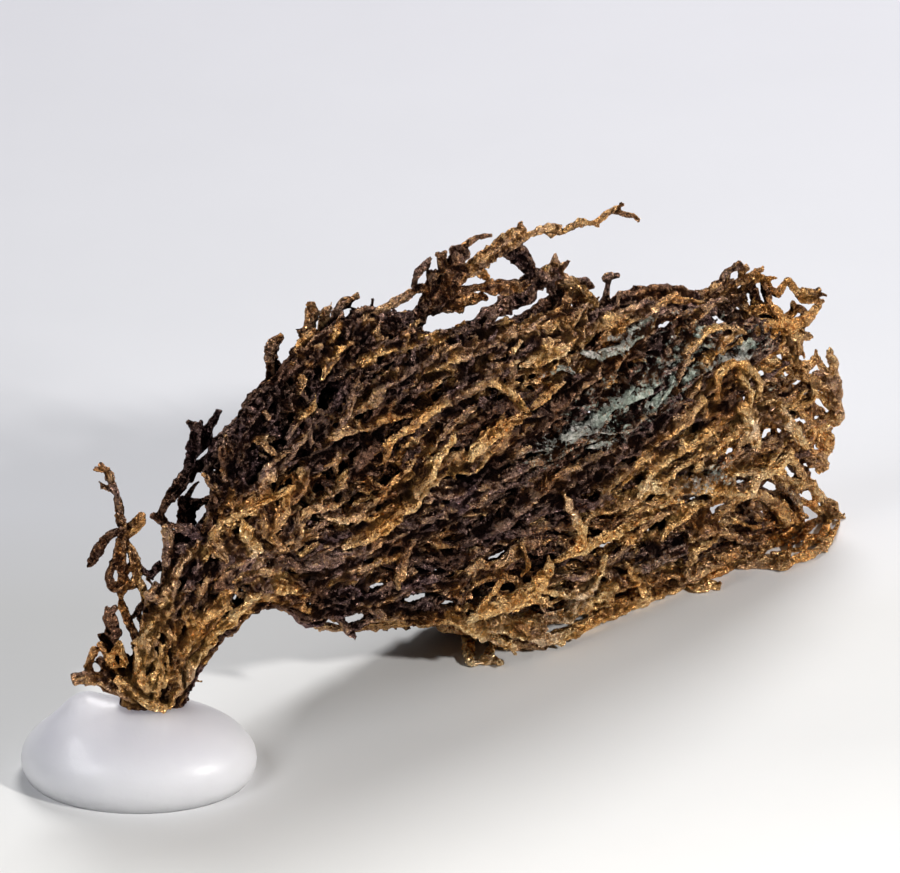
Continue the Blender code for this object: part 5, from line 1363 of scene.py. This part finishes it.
def copper_material():
    material = bpy.data.materials.new("tarnished_copper_looks")
    tree = node_tree(material)
    tone = attribute(tree, "tone")
    edge = attribute(tree, "edge")
    depth = attribute(tree, "depth")
    green = attribute(tree, "green")
    gap_shade_amount = attribute(tree, "gap_shade_amount")
    flow = add_node(tree, "ShaderNodeAttribute", {"attribute_name": "flow"}).outputs["Vector"]
    mapping = add_node(tree, "ShaderNodeMapping", inputs={"Vector": flow, "Scale": (0.5, 4.2, 1.0)})
    streak_inputs = {"Vector": mapping.outputs[0], "Scale": 1.0, "Detail": 3.0}
    streaks = add_node(tree, "ShaderNodeTexNoise", inputs=streak_inputs).outputs["Fac"]
    broad_noise = noise_node(tree, 260.0, 3.0)
    fine_noise = noise_node(tree, 1500.0, 5.0, 0.65)
    mottle = times(tree, minus(tree, fine_noise, 0.5), 0.6)
    streaked = times(tree, minus(tree, streaks, 0.5), 0.95)
    shade = plus(tree, tone, plus(tree, mottle, streaked))
    shade = plus(tree, shade, times(tree, minus(tree, broad_noise, 0.5), 0.4))
    body = ramp(tree, shade, (
        (0.05, (0.006, 0.003, 0.003)),
        (0.28, (0.032, 0.015, 0.012)),
        (0.44, (0.108, 0.048, 0.025)),
        (0.58, (0.250, 0.115, 0.041)),
        (0.72, (0.430, 0.220, 0.075)),
        (0.86, (0.630, 0.350, 0.105)),
        (1.00, (0.660, 0.390, 0.135)),
    ))
    # Colours of ridges: partly rubbed bare metal, partly a painted sheen, lilac-grey on the plum tones and
    # pale gold on the gold ones.
    bright = ramp(tree, shade, (
        (0.08, (0.18, 0.11, 0.095)),
        (0.34, (0.38, 0.235, 0.165)),
        (0.55, (0.66, 0.41, 0.215)),
        (0.80, (0.95, 0.60, 0.26)),
        (1.00, (1.00, 0.74, 0.40)),
    ))
    # Ridges take the ridge colours: wear and painted sheen.
    ridge_wear_and_sheen = times(tree, minus(tree, edge, 0.56), 3.2, clamp=True)
    ridge_wear_and_sheen = times(tree, ridge_wear_and_sheen, depth, clamp=True)
    colour = mixed(tree, ridge_wear_and_sheen, body, bright)
    tint = ramp(tree, noise_node(tree, 150.0, 3.0), (
        (0.38, (1.0, 0.84, 0.66)),
        (0.52, (1.0, 1.0, 1.0)),
        (0.64, (0.95, 0.95, 1.15)),
    ))
    colour = mixed(tree, 1.0, colour, tint, "MULTIPLY")
    # Painted shade, over the dark tarnish of the hollows: broad hollows, fine creases and gaps with metal
    # in front of them are darkened to near black.
    sunk = times(tree, minus(tree, 0.52, depth), 4.6, clamp=True)
    crease_shade = times(tree, minus(tree, 0.48, edge), 4.0, clamp=True)
    gap_shade = times(tree, minus(tree, gap_shade_amount, 0.30), 4.2, clamp=True)
    dark = larger(tree, times(tree, sunk, 0.88), times(tree, crease_shade, 0.7))
    dark = larger(tree, dark, gap_shade)
    colour = mixed(tree, dark, colour, (0.005, 0.003, 0.003))
    crust_noise = noise_node(tree, 2400.0, 6.0, 0.8)
    patches = plus(tree, times(tree, crust_noise, 3.4), times(tree, streaks, 0.5))
    patches = plus(tree, times(tree, green, 0.9), patches)
    patches = plus(tree, patches, times(tree, edge, 0.35))
    crust = times(tree, minus(tree, patches, 2.74), 6.5, clamp=True)
    crust = times(tree, crust, times(tree, green, 4.0, clamp=True))
    crust_colour = ramp(tree, fine_noise, (
        (0.34, (0.13, 0.165, 0.135)),
        (0.50, (0.31, 0.385, 0.325)),
        (0.62, (0.64, 0.71, 0.63)),
    ))
    crust_tint = ramp(tree, noise_node(tree, 210.0, 2.0), (
        (0.47, (1.0, 1.0, 1.0)),
        (0.60, (1.14, 0.97, 1.04)),
    ))
    crust_colour = mixed(tree, 1.0, crust_colour, crust_tint, "MULTIPLY")
    colour = mixed(tree, times(tree, crust, 0.9), colour, crust_colour)
    metallic = minus(tree, 1.0, crust, clamp=True)
    rough = plus(tree, 0.12, times(tree, fine_noise, 0.3))
    rough = plus(tree, rough, times(tree, larger(tree, crust, dark), 0.4), clamp=True)
    grain = noise_node(tree, 3800.0, 1.0, 0.5)
    facets = noise_node(tree, 1900.0, kind="ShaderNodeTexVoronoi")
    relief = plus(tree, times(tree, grain, 0.8), times(tree, facets, 1.1))
    relief = plus(tree, relief, times(tree, streaks, 2.4))
    relief = plus(tree, relief, times(tree, fine_noise, 0.7))
    bump = add_node(tree, "ShaderNodeBump", inputs={"Height": relief, "Strength": 1.0, "Distance": 0.0003})
    surfaced(tree, colour, {
        "Metallic": metallic, "Roughness": rough, "Normal": bump.outputs["Normal"],
        "Specular Tint": (0.5, 0.42, 0.4, 1.0),
    })
    return material


def putty_material():
    material = bpy.data.materials.new("milky_putty_looks")
    tree = node_tree(material)
    place_node = add_node(tree, "ShaderNodeTexCoord")
    split = add_node(tree, "ShaderNodeSeparateXYZ", inputs={"Vector": place_node.outputs["Object"]})
    # Painted light: the putty is paler near the floor and greyer towards its top.
    height = times(tree, split.outputs["Z"], 125.0, clamp=True)
    colour = ramp(tree, height, (
        (0.0, (0.86, 0.86, 0.92)),
        (0.5, (0.79, 0.79, 0.85)),
        (1.0, (0.70, 0.695, 0.74)),
    ))
    clouds = ramp(tree, noise_node(tree, 90.0, 3.0), ((0.35, (0.95, 0.95, 0.96)), (0.65, (1.0, 1.0, 1.0))))
    colour = mixed(tree, 1.0, colour, clouds, "MULTIPLY")
    smear = noise_node(tree, 300.0, 4.0)
    bump = add_node(tree, "ShaderNodeBump", inputs={"Height": smear, "Strength": 0.15, "Distance": 0.0004})
    surfaced(tree, colour, {
        "Roughness": 0.4, "Normal": bump.outputs["Normal"],
        "Subsurface Weight": 0.9, "Subsurface Scale": 0.008, "Subsurface Radius": (1.0, 0.97, 1.0),
        "Coat Weight": 0.12, "Coat Roughness": 0.08,
    })
    return material


# The foot: a main dome and low mounds pulled up round the root, the tallest on the left.
FOOT_LUMPS = (
    ((0.0, 0.0, 1.8), (12.0, 8.6, 5.5)),
    ((-5.2, 0.3, 4.0), (3.3, 3.8, 5.2)),
    ((-4.5, -0.5, 2.8), (6.0, 5.6, 5.4)),
    ((-2.8, -0.2, 3.8), (4.6, 4.2, 4.9)),
    ((0.5, -0.8, 3.2), (5.5, 4.4, 5.1)),
)
FOOT_VOXEL = 0.3


def build_foot(material):
    lumps = bmesh.new()
    for centre, radii in FOOT_LUMPS:
        made = bmesh.ops.create_uvsphere(lumps, u_segments=64, v_segments=40, radius=1.0)
        bmesh.ops.scale(lumps, vec=Vector(radii) * MM, verts=made["verts"])
        bmesh.ops.translate(lumps, vec=Vector(centre) * MM, verts=made["verts"])
    mesh = bpy.data.meshes.new("putty")
    lumps.to_mesh(mesh)
    lumps.free()
    foot = bpy.data.objects.new("putty", mesh)
    bpy.context.scene.collection.objects.link(foot)
    remesh = foot.modifiers.new("fuse", "REMESH")
    remesh.mode = "VOXEL"
    remesh.voxel_size = FOOT_VOXEL * MM
    soften = foot.modifiers.new("soften", "SMOOTH")
    soften.iterations = 90
    soften.factor = 0.6
    evaluated(foot)
    cut = bmesh.new()
    cut.from_mesh(foot.data)
    everything = cut.verts[:] + cut.edges[:] + cut.faces[:]
    bmesh.ops.bisect_plane(cut, geom=everything, plane_no=(0.0, 0.0, -1.0), clear_outer=True)
    rim = [edge for edge in cut.edges if edge.is_boundary]
    bmesh.ops.contextual_create(cut, geom=rim)
    cut.to_mesh(foot.data)
    cut.free()
    foot.data.transform(TO_FRAME)
    foot.data.shade_smooth()
    foot.data.materials.append(material)
    return foot


def dressed(made, node, material):
    made.data.materials.append(material)
    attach(made, "root")
    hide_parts(node)


copper = copper_material()
putty = putty_material()

pieces = []
for node, first_rib, last_rib, strands, flakes, placed, seed in LIMBS:
    bundle = Bundle(seed)
    ribs = (first_rib, last_rib)
    bundle.core(ribs, 1.45, 6.85, 1.1)
    bundle.fan(ribs, strands, 1.45, LAST_STATION, (0.40, 1.05), 1.1, 1.0)
    bundle.flakes(ribs, flakes, 1.6, LAST_STATION)
    lowest = first_rib if first_rib > 0 else -1.0
    highest = last_rib if last_rib < LAST_RIB else LAST_RIB + 1.0
    bundle.ribbons(lowest, highest)
    bundle.placed(placed)
    if node == "bottom_limb":
        for guide in RUNNERS:
            line = through(guide, np.linspace(0, 1, RUNNER_RINGS))
            height = np.full(RUNNER_RINGS, RUNNER_RADIUS + FLOOR_CLEARANCE)
            centres = np.stack((line[:, 0], line[:, 1], height), axis=1)
            bundle.strand(centres, np.full(RUNNER_RINGS, RUNNER_RADIUS), 0.9, 0.0, 1.5, 1.0)
    limb = finished(node + "_copper", bundle, LIMB_VOXEL, LIMB_TRIANGLES, 0.09, 0.11, seed)
    dressed(limb, node, copper)
    pieces.append(limb)

bundle = Bundle(21)
bundle.core((0.4, LAST_RIB), 0.0, 2.0, 0.9)
bundle.fan((0.55, LAST_RIB), 44, 0.0, 3.2, (0.36, 0.8), 1.2, 1.0)
bundle.flakes((0.55, LAST_RIB), 40, 0.2, 2.2)
bundle.placed(ROOT_STRANDS)
root = finished("root_copper", bundle, ROOT_VOXEL, ROOT_TRIANGLES, 0.09, 0.10, 21)
dressed(root, "root_stock", copper)
pieces.append(root)

for node, strands, seed in (
    ("left_sprig", SPRIG_STRANDS, 31),
    ("outer_branch", OUTER_STRANDS, 32),
    ("top_spray", SPRAY_STRANDS, 33),
    ("tip_cluster", TIP_STRANDS, 34),
):
    bundle = Bundle(seed)
    bundle.placed(strands, 1.5)
    twig = finished(node + "_copper", bundle, TWIG_VOXEL, TWIG_TRIANGLES, 0.08, 0.07, seed)
    dressed(twig, node, copper)
    pieces.append(twig)
painted_gap_shade(pieces)

foot = build_foot(putty)
dressed(foot, "putty_foot", putty)


# Stage, light and camera.
FLOOR_HALF_SIDE = 3600.0


def build_stage():
    """One flat floor with painted light: a pale pool at the front, a lighter band behind the piece where
    the key light's shadow falls, and painted shade to the left; greyer towards the back.
    """
    side = FLOOR_HALF_SIDE
    corners = np.array(((-side, -side, 0.0), (side, -side, 0.0), (side, side, 0.0), (-side, side, 0.0)))
    stage = new_object("pale_floor", corners, np.array(((0, 1, 2, 3),)), np.empty((0, 3), int))
    material = bpy.data.materials.new("pale_floor_looks")
    tree = node_tree(material)
    mottle = noise_node(tree, 40.0, 5.0)
    place_node = add_node(tree, "ShaderNodeTexCoord")
    split = add_node(tree, "ShaderNodeSeparateXYZ", inputs={"Vector": place_node.outputs["Object"]})
    # Painted light along the floor: a pale pool at the front and a lighter band behind the piece.
    back = times(tree, plus(tree, split.outputs["Y"], 0.055), 4.0, clamp=True)
    colour = ramp(tree, back, (
        (0.00, (0.89, 0.89, 0.88)),
        (0.16, (0.71, 0.715, 0.72)),
        (0.26, (0.69, 0.695, 0.70)),
        (0.34, (0.74, 0.75, 0.79)),
        (0.50, (0.69, 0.70, 0.745)),
        (1.00, (0.67, 0.67, 0.735)),
    ))
    # Painted shade: the floor darkens towards the left.
    sideways = times(tree, plus(tree, split.outputs["X"], 0.065), 7.0, clamp=True)
    painted_left_shade = ramp(tree, sideways, ((0.0, (0.90, 0.90, 0.90)), (1.0, (1.0, 1.0, 1.0))))
    colour = mixed(tree, 1.0, colour, painted_left_shade, "MULTIPLY")
    speckle = ramp(tree, mottle, ((0.3, (0.975, 0.975, 0.975)), (0.7, (1.0, 1.0, 1.0))))
    colour = mixed(tree, 1.0, colour, speckle, "MULTIPLY")
    surfaced(tree, colour, {"Roughness": 0.6})
    stage.data.materials.append(material)


def area_light(name, position, target, size, power, colour):
    data = bpy.data.lights.new(name, "AREA")
    data.shape = "DISK"
    data.size = size * MM
    data.energy = power
    data.color = colour
    light = bpy.data.objects.new(name, data)
    light.location = Vector(position) * MM
    aim = Vector(target) * MM - light.location
    light.rotation_euler = aim.to_track_quat("-Z", "Y").to_euler()
    light.visible_camera = False
    bpy.context.scene.collection.objects.link(light)


build_stage()
MIDDLE = BASE + np.array((33.0, 22.0, 20.0))
area_light("top_soft", MIDDLE + (40.0, 260.0, 390.0), MIDDLE, 220.0, 1.55, (1.0, 0.99, 0.98))
area_light("right_key", MIDDLE + (320.0, -230.0, 250.0), MIDDLE, 40.0, 1.85, (1.0, 0.97, 0.93))
area_light("left_key", MIDDLE + (-280.0, -240.0, 300.0), MIDDLE, 200.0, 0.8, (0.97, 0.98, 1.0))
area_light("back_fill", MIDDLE + (0.0, 400.0, 110.0), MIDDLE, 420.0, 0.15, (1.0, 1.0, 1.0))

# The camera sees a pale surrounding; what lights the piece from all round is dim.
world = bpy.data.worlds.new("soft_room")
room = node_tree(world)
dim = add_node(room, "ShaderNodeBackground", inputs={"Color": (0.93, 0.95, 1.0, 1.0), "Strength": 0.02})
pale = add_node(room, "ShaderNodeBackground", inputs={"Color": (0.80, 0.80, 0.84, 1.0), "Strength": 0.8})
direct = add_node(room, "ShaderNodeLightPath").outputs["Is Camera Ray"]
backdrop = add_node(room, "ShaderNodeMixShader", inputs={
    0: direct, 1: dim.outputs["Background"], 2: pale.outputs["Background"],
})
add_node(room, "ShaderNodeOutputWorld", inputs={"Surface": backdrop.outputs["Shader"]})
bpy.context.scene.world = world
bpy.context.scene.view_settings.view_transform = "Standard"

CAMERA_DISTANCE = 2500.0
middle_across = (PICTURE_WIDTH / 2 - FOOT_PIXEL[0]) / PIXELS_PER_MM
middle_up = (FOOT_PIXEL[1] - PICTURE_HEIGHT / 2) / PIXELS_PER_MM
middle_depth = float(sheet_depth(np.array(middle_across)))
target = BASE + np.array((middle_across, middle_depth, (middle_up - middle_depth * SIN_LOOK) / COS_LOOK))
camera_data = bpy.data.cameras.new("camera")
camera_data.sensor_width = 36.0
camera_data.lens = camera_data.sensor_width * CAMERA_DISTANCE / (PICTURE_WIDTH / PIXELS_PER_MM)
camera_data.clip_end = 20.0
camera = bpy.data.objects.new("camera", camera_data)
camera.location = Vector((target - AWAY * CAMERA_DISTANCE) * MM)
camera.rotation_euler = (math.radians(90.0 - LOOK_DOWN), 0.0, 0.0)
bpy.context.scene.collection.objects.link(camera)
bpy.context.scene.camera = camera
